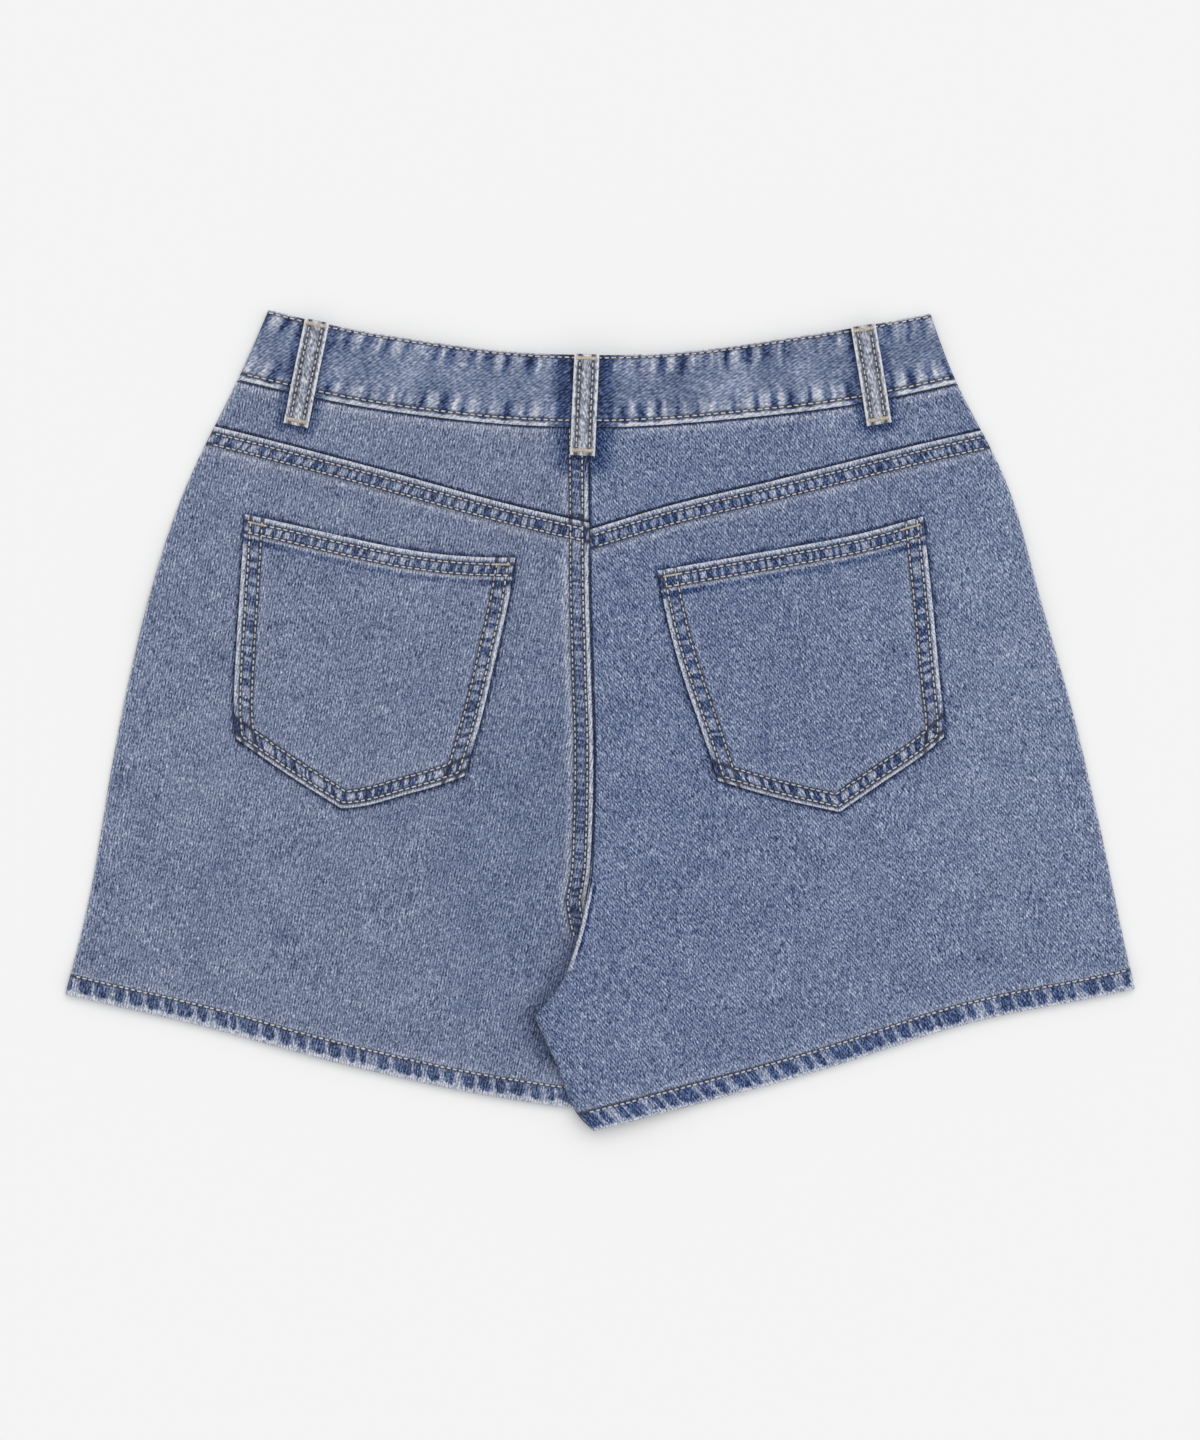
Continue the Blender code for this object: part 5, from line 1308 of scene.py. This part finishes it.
class Thread:
    """Stitches gathered into one piece; each is a short closed tube that dips in at both ends."""

    def __init__(self):
        self.points, self.faces, self.count = [], [], 0

    def strands(self, starts, ends, grounds, above=1.0, radius=THREAD, lifts=LIFTS):
        """Straight stitches between plan points, on the cloth pieces whose trees are named."""
        starts, ends = np.asarray(starts, float), np.asarray(ends, float)
        centres = starts[:, None] + STATIONS[None, :, None] * (ends - starts)[:, None]
        if callable(grounds):
            heights = grounds(*centres.reshape(-1, 2).T)
            found = np.ones(len(heights), bool)
        else:
            heights, found = read_heights(centres.reshape(-1, 2), grounds, above)
        heights = heights.reshape(len(starts), -1)
        found = found.reshape(len(starts), -1).all(1)
        for start, end, centre, height in zip(starts[found], ends[found], centres[found],
                                              heights[found]):
            run = (end - start) / max(np.hypot(*(end - start)), 1e-6)
            across = np.array([-run[1], run[0]])
            for station, lift, girth in zip(range(len(STATIONS)), lifts, GIRTHS):
                for k in range(RING):
                    turn = 2 * math.pi * (k + 0.5) / RING
                    flat = centre[station] + across * radius * girth * math.cos(turn)
                    rise = height[station] + above * (lift + THREAD_HEIGHT * girth * math.sin(turn))
                    self.points.append((flat[0], flat[1], max(rise, TABLE_TOUCH)))
            first, last = self.count, self.count + (len(STATIONS) - 1) * RING
            faces = []
            for ring in range(first, last, RING):
                for k in range(RING):
                    a, b = ring + k, ring + (k + 1) % RING
                    faces.append((a, b, b + RING, a + RING)[::-1])
            faces += [tuple(range(first, first + RING)), tuple(range(last, last + RING))[::-1]]
            self.faces += faces if above > 0 else [face[::-1] for face in faces]
            self.count += RING * len(STATIONS)

    def row(self, line, grounds, above=1.0, seed=1, pitch=SEAM_PITCH, radius=THREAD):
        """A row of stitches along a plan line."""
        rng = np.random.default_rng(seed)   # no two stitches are quite as long or as straight
        number = max(int(line.length / pitch), 1)
        begin = (np.arange(number) + 0.1 + rng.uniform(-0.04, 0.04, number)) * pitch
        end = begin + SHOWN * pitch + rng.uniform(-0.15, 0.15, number)
        starts, ends = line.at(begin / line.length), line.at(end / line.length)
        wander = rng.normal(0, 0.07, (2, number, 2))
        self.strands(starts + wander[0], ends + wander[1], grounds, above, radius)

    def bar_tack(self, start, end, grounds, above=1.0, wide=1.5, turns=11):
        """A dense zigzag across the strain."""
        start, end = np.asarray(start, float), np.asarray(end, float)
        run = end - start
        across = np.array([-run[1], run[0]]) / np.hypot(*run)
        steps = np.linspace(0, 1, 2 * turns + 1)
        sway = np.where(np.arange(len(steps)) % 2, 1, -1) * wide / 2
        corners = start + steps[:, None] * run + across * sway[:, None]
        self.strands(corners[:-1], corners[1:], grounds, above, TACK_THREAD, TACK_LIFTS)

    def piece(self, name, material):
        obj = mesh_object(name, np.array(self.points), self.faces, material)
        return obj


def read_heights(points, grounds, above):
    """Heights of the cloth at plan points, seen from above or from below."""
    heights = np.zeros(len(points))
    found = np.zeros(len(points), bool)
    start, towards = (40.0, -1.0) if above > 0 else (-40.0, 1.0)
    for k, (x, y) in enumerate(points):
        hits = [trees[ground].ray_cast(Vector((x, y, start)), Vector((0, 0, towards)))[0]
                for ground in grounds]
        hits = [hit.z for hit in hits if hit is not None]
        if hits:
            heights[k], found[k] = max(hits) if above > 0 else min(hits), True
    return heights, found


def meeting(first, second):
    """Two plan lines cut at the place where they cross, and joined there."""
    gaps = np.hypot(first.points[:, None, 0] - second.points[None, :, 0],
                    first.points[:, None, 1] - second.points[None, :, 1])
    i, j = np.unravel_index(gaps.argmin(), gaps.shape)
    return Line(np.concatenate([first.points[:i], second.points[j:]]), smooth=False)


def pocket_rows(side):
    """The two rows round a pocket's sides and foot, with their corners."""
    lines = pocket_lines[side]
    rows = []
    for by_side, by_foot in zip(POCKET_SIDE_ROWS, POCKET_FOOT_ROWS):
        down = lines["left"].moved(by_side)
        foot = meeting(lines["foot_left"].moved(by_foot), lines["foot_right"].moved(by_foot))
        path = meeting(meeting(down, foot), lines["right"].moved(-by_side).reversed())
        rows.append(path)
    return rows


# ---- The garment ---------------------------------------------------------------------------
pieces = {}
for side, cloth_finish in (("left", left_denim), ("right", right_denim)):
    pieces[f"back_{side}"] = back_leg(side, cloth_finish)
    pieces[f"yoke_{side}"] = yoke_piece(side, cloth_finish)
    pieces[f"back_pocket_{side}"] = patch_pocket(side, cloth_finish)
    pieces[f"front_{side}"] = front_leg(side, cloth_finish)
    pieces[f"front_pocket_facing_{side}"] = pocket_facing(side, cloth_finish)
    pieces[f"waistband_{side}"] = waistband_piece(side, band_denim)
fly_foot = FLY_TOP - FLY_LENGTH
zip_above = CLOTH + GAP + 2 * SLACK
pieces["zip"] = inner_strip("zip_tape", (-ZIP_WIDTH / 2, ZIP_WIDTH / 2), (fly_foot + 16, FLY_TOP),
                            zip_above, ZIP_WALL, tape)
pieces["fly_shield"] = inner_strip("fly_shield_cloth", (8 - FLY_WIDTH, 16), (fly_foot + 2, FLY_TOP),
                                   zip_above + ZIP_WALL + GAP, CLOTH, left_denim)
for place, loops in (("back", BACK_LOOPS), ("front", FRONT_LOOPS)):
    for name, foot, head in loops:
        pieces[f"belt_loop_{place}_{name}"] = belt_loop_piece(f"{place}_loop_{name}", foot, head,
                                                              place == "back", loop_denim)

stitching, tacks_on = {}, {}
for side in ("left", "right"):
    left = side == "left"
    leg, yoke_cloth, pocket = [f"back_leg_{side}"], [f"yoke_cloth_{side}"], [f"patch_pocket_{side}"]
    band, front = [f"waistband_cloth_{side}"], [f"front_leg_{side}"]
    hem_line = hems[side].moved(HEM_ROW)

    sewn = Thread()
    for k, row in enumerate(YOKE_ROWS):
        sewn.row(yokes[side].moved(-row).from_start(1.5), leg, seed=3 + k)
    sewn.row(hem_line, leg, seed=7, radius=HEM_THREAD)
    if left:
        lower = seat_seam.then(under_inner).part(1, 101.0, -112.0)
        upper = seat_seam.part(1, last=104.0)
        for k, row in enumerate(SEAT_ROWS):
            sewn.row(lower.moved(-row), leg, seed=13 + k)
            sewn.row(upper.moved(-row), yoke_cloth, seed=15 + k)
    stitching[f"back_{side}"] = sewn.piece(f"back_leg_stitching_{side}", thread_cream)

    sewn = Thread()
    for k, path in enumerate(pocket_rows(side)):
        sewn.row(path, pocket, seed=23 + k, pitch=FOOT_PITCH)
    for k, row in enumerate(MOUTH_ROWS):
        mouth = pocket_lines[side]["mouth"].moved(-row)
        sewn.row(mouth.between(0.02, 0.98), pocket, seed=27 + k, pitch=MOUTH_PITCH)
    stitching[f"back_pocket_{side}"] = sewn.piece(f"patch_pocket_stitching_{side}", thread_cream)

    sewn = Thread()
    front_end = TAB_END if left else TAB_END + 0.8
    for k, (line, row, end, above) in enumerate((
            (waist_top, -WAIST_TOP_ROW, SEAT_SEAM[0][0], 1.0),
            (waist_seam, WAIST_FOOT_ROW, SEAT_SEAM[0][0], 1.0),
            (front_top, -WAIST_TOP_ROW, front_end, -1.0),
            (front_seam, WAIST_FOOT_ROW, front_end, -1.0))):
        sewn.row(half(line, side, end).moved(row), band, above, 33 + k, BAND_PITCH)
    if left:
        tab_end = Line([edge.at(edge.fraction_at(0, TAB_END)) for edge in (front_top, front_seam)])
        sewn.row(tab_end.moved(-WAIST_TOP_ROW).from_start(3.0), band, -1.0, 37, BAND_PITCH)
    stitching[f"waistband_{side}"] = sewn.piece(f"waistband_stitching_{side}", thread_cream)

    sewn = Thread()
    for k, row in enumerate(SCOOP_ROWS):
        inwards = row if left else -row
        sewn.row(scoops[side].moved(inwards).between(0.02, 0.97), front, -1.0, 41 + k)
    sewn.row(hem_line, front, -1.0, 45)
    if left:
        for k, inset in enumerate(FLY_INSETS):
            sewn.row(fly_row(inset), front, -1.0, 47 + k)
    stitching[f"front_{side}"] = sewn.piece(f"front_leg_stitching_{side}", thread_cream)


def tab_face(x, y):
    """Outer face of the waistband's tab, for stitches that run over the slot in it."""
    return front_face(x, y, "left")


purl = Thread()
for edge in (SLOT_Y[0] - 0.5, SLOT_Y[1] + 0.5):
    purl.bar_tack((SLOT_X[0], edge), (SLOT_X[1], edge), tab_face, -1.0, 2.0, 24)
for end in (SLOT_X[0] - 0.5, SLOT_X[1] + 0.5):
    purl.bar_tack((end, SLOT_Y[0]), (end, SLOT_Y[1]), tab_face, -1.0, 2.0, 6)
tacks_on["waistband_left"] = purl.piece("buttonhole_purl_stitches", thread_cream)

for place, loops, above in (("back", BACK_LOOPS, 1.0), ("front", FRONT_LOOPS, -1.0)):
    for name, foot, head in loops:
        length, along, across = strap_axes(foot, head)
        ground = [f"{place}_loop_{name}"]
        sewn, tacks = Thread(), Thread()
        for offset in (-LOOP_ROW, LOOP_ROW):
            start, end = foot + along * 3.4, head - along * 3.0
            sewn.row(Line((start + across * offset, end + across * offset)), ground, above, 51)
        for end in (foot + along * 2.6, head - along * 2.2):
            tacks.bar_tack(end - across * 5.4, end + across * 5.4, ground, above, wide=2.1, turns=13)
        key = f"belt_loop_{place}_{name}"
        stitching[key] = sewn.piece(f"{place}_loop_stitching_{name}", thread_cream)
        tacks_on[key] = tacks.piece(f"{place}_loop_tacks_{name}", thread_tan)

for side in ("left", "right"):
    tacks = Thread()
    mouth = pocket_lines[side]["mouth"].moved(-MOUTH_ROWS[0])
    for start, end in ((0.018, 0.085), (0.915, 0.982)):
        tacks.bar_tack(mouth.at(start), mouth.at(end), [f"patch_pocket_{side}"], wide=1.1, turns=9)
    tacks_on[f"back_pocket_{side}"] = tacks.piece(f"patch_pocket_tacks_{side}", thread_tan)


# ---- Metal and zip -------------------------------------------------------------------------
def turned_button():
    """Shank button with a rolled rim, turned from its profile: radius and height."""
    x, y = BUTTON_PLACE
    profile = ((0.01, 1.35), (1.6, 1.15), (3.0, 1.3), (3.6, 0.9), (4.6, 0.7), (5.2, 0.25),
               (6.2, 0.02), (7.4, 0.0), (8.1, 0.25), (8.45, 0.8), (8.4, 1.3), (8.0, 1.8),
               (6.6, BUTTON_HEAD), (SHANK_RADIUS, BUTTON_HEAD), (SHANK_RADIUS, SHANK_TOP),
               (0.01, SHANK_TOP))
    turns, n = 64, len(profile)
    angles = [2 * math.pi * k / turns for k in range(turns)]
    points = [(x + r * math.cos(angle), y + r * math.sin(angle), z)
              for angle in angles for r, z in profile]
    faces = []
    for k in range(turns):
        here, beside = k * n, (k + 1) % turns * n
        faces += [(here + j, beside + j, beside + j + 1, here + j + 1) for j in range(n - 1)]
    faces.append(tuple(k * n for k in range(turns))[::-1])
    faces.append(tuple(k * n + n - 1 for k in range(turns)))
    return mesh_object("shank_button", points, faces, brass)


def zip_chain():
    """Metal teeth along the tape, with the closed slider and its pull at the top."""
    pitch, stagger = 1.3, 0.9
    foot, top = fly_foot + 20.0, FLY_TOP - 9.0
    # Blocks: x, y, width, length and height
    blocks = [(stagger if k % 2 else -stagger, foot + pitch * k, 2.6, 0.8, 1.1)
              for k in range(int((top - 6 - foot) / pitch))]
    blocks += [(0.0, foot - 1.6, 4.6, 1.4, 1.1), (0.0, top, 7.0, 9.0, 1.3),
               (0.0, top - 3.0, 2.4, 17.0, 1.5)]
    points, faces = [], []
    for x, y, width, length, height in blocks:
        z = float(front_face(np.array(x), np.array(y), "left")) + zip_above + ZIP_WALL / 2
        first = len(points)
        points += [(x + i * width / 2, y + j * length / 2, z + k * height / 2)
                   for i in (-1, 1) for j in (-1, 1) for k in (-1, 1)]
        faces += [tuple(first + corner for corner in face) for face in (
            (0, 1, 3, 2), (4, 6, 7, 5), (0, 4, 5, 1), (2, 3, 7, 6), (0, 2, 6, 4), (1, 5, 7, 3))]
    chain = mesh_object("zip_teeth_and_slider", points, faces, brass, smooth=False)
    return chain


pieces["button"] = turned_button()
chain = zip_chain()
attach(chain, BODY)

# ---- Each piece on the body, in place of the part that it stands for -----------------------
SLOTS = {"back": "denim", "yoke": "denim", "front": "denim", "fly": "denim_left", "zip": "zip_tape",
         "waistband": "denim_waistband", "belt": "denim_loops", "button": "button_metal"}
for node, piece in pieces.items():
    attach(piece, BODY)
    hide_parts(node)
    slot = SLOTS[node.split("_")[0]]
    if slot == "denim":
        slot = "denim_left" if node.endswith("left") else "denim_right"
for piece in [*stitching.values(), *tacks_on.values()]:
    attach(piece, BODY)

for node, piece in pieces.items():
    if node == "button":
        continue
    side = "right" if node.endswith("right") else "left"
    if node.startswith("belt_loop_back"):
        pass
    elif node.startswith("back_pocket"):
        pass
    elif node.startswith(("front", "waistband", "belt_loop_front")):
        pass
    else:
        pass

# ---- Stage ---------------------------------------------------------------------------------
bpy.ops.mesh.primitive_plane_add(size=6.0, location=(0, 0, 0))
floor = bpy.context.object
floor.name = "floor"
# Matt painted board: an even pale grey with no gloss.
floor.data.materials.append(plain("matt_pale_board", "#EAEAEA", 1.0))

world = bpy.data.worlds.new("soft_room")
bpy.context.scene.world = world
world.use_nodes = True
world.node_tree.nodes["Background"].inputs[0].default_value = (1.0, 1.0, 1.0, 1.0)
world.node_tree.nodes["Background"].inputs[1].default_value = 0.73

key = bpy.data.lights.new("key", "SUN")
key.energy = 1.3
key.angle = math.radians(60)
key_light = bpy.data.objects.new("key", key)
key_light.rotation_euler = (math.radians(-22), math.radians(12), 0)
bpy.context.scene.collection.objects.link(key_light)

view = bpy.context.scene.view_settings
view.view_transform = "Standard"
view.look = "None"

CAMERA_HEIGHT = 2500.0
SEEN_PLANE = 3.0        # height of the plane over the table at which the frame is measured
FRAME_HEIGHT = 748.8    # how much of that plane the camera sees from top to bottom
SENSOR = 36.0
lens = bpy.data.cameras.new("camera")
lens.sensor_fit = "VERTICAL"
lens.sensor_height = SENSOR
lens.lens = SENSOR * (CAMERA_HEIGHT - SEEN_PLANE) / FRAME_HEIGHT
camera = bpy.data.objects.new("camera", lens)
camera.location = (0.0, 0.0, CAMERA_HEIGHT * MM)
bpy.context.scene.collection.objects.link(camera)
bpy.context.scene.camera = camera
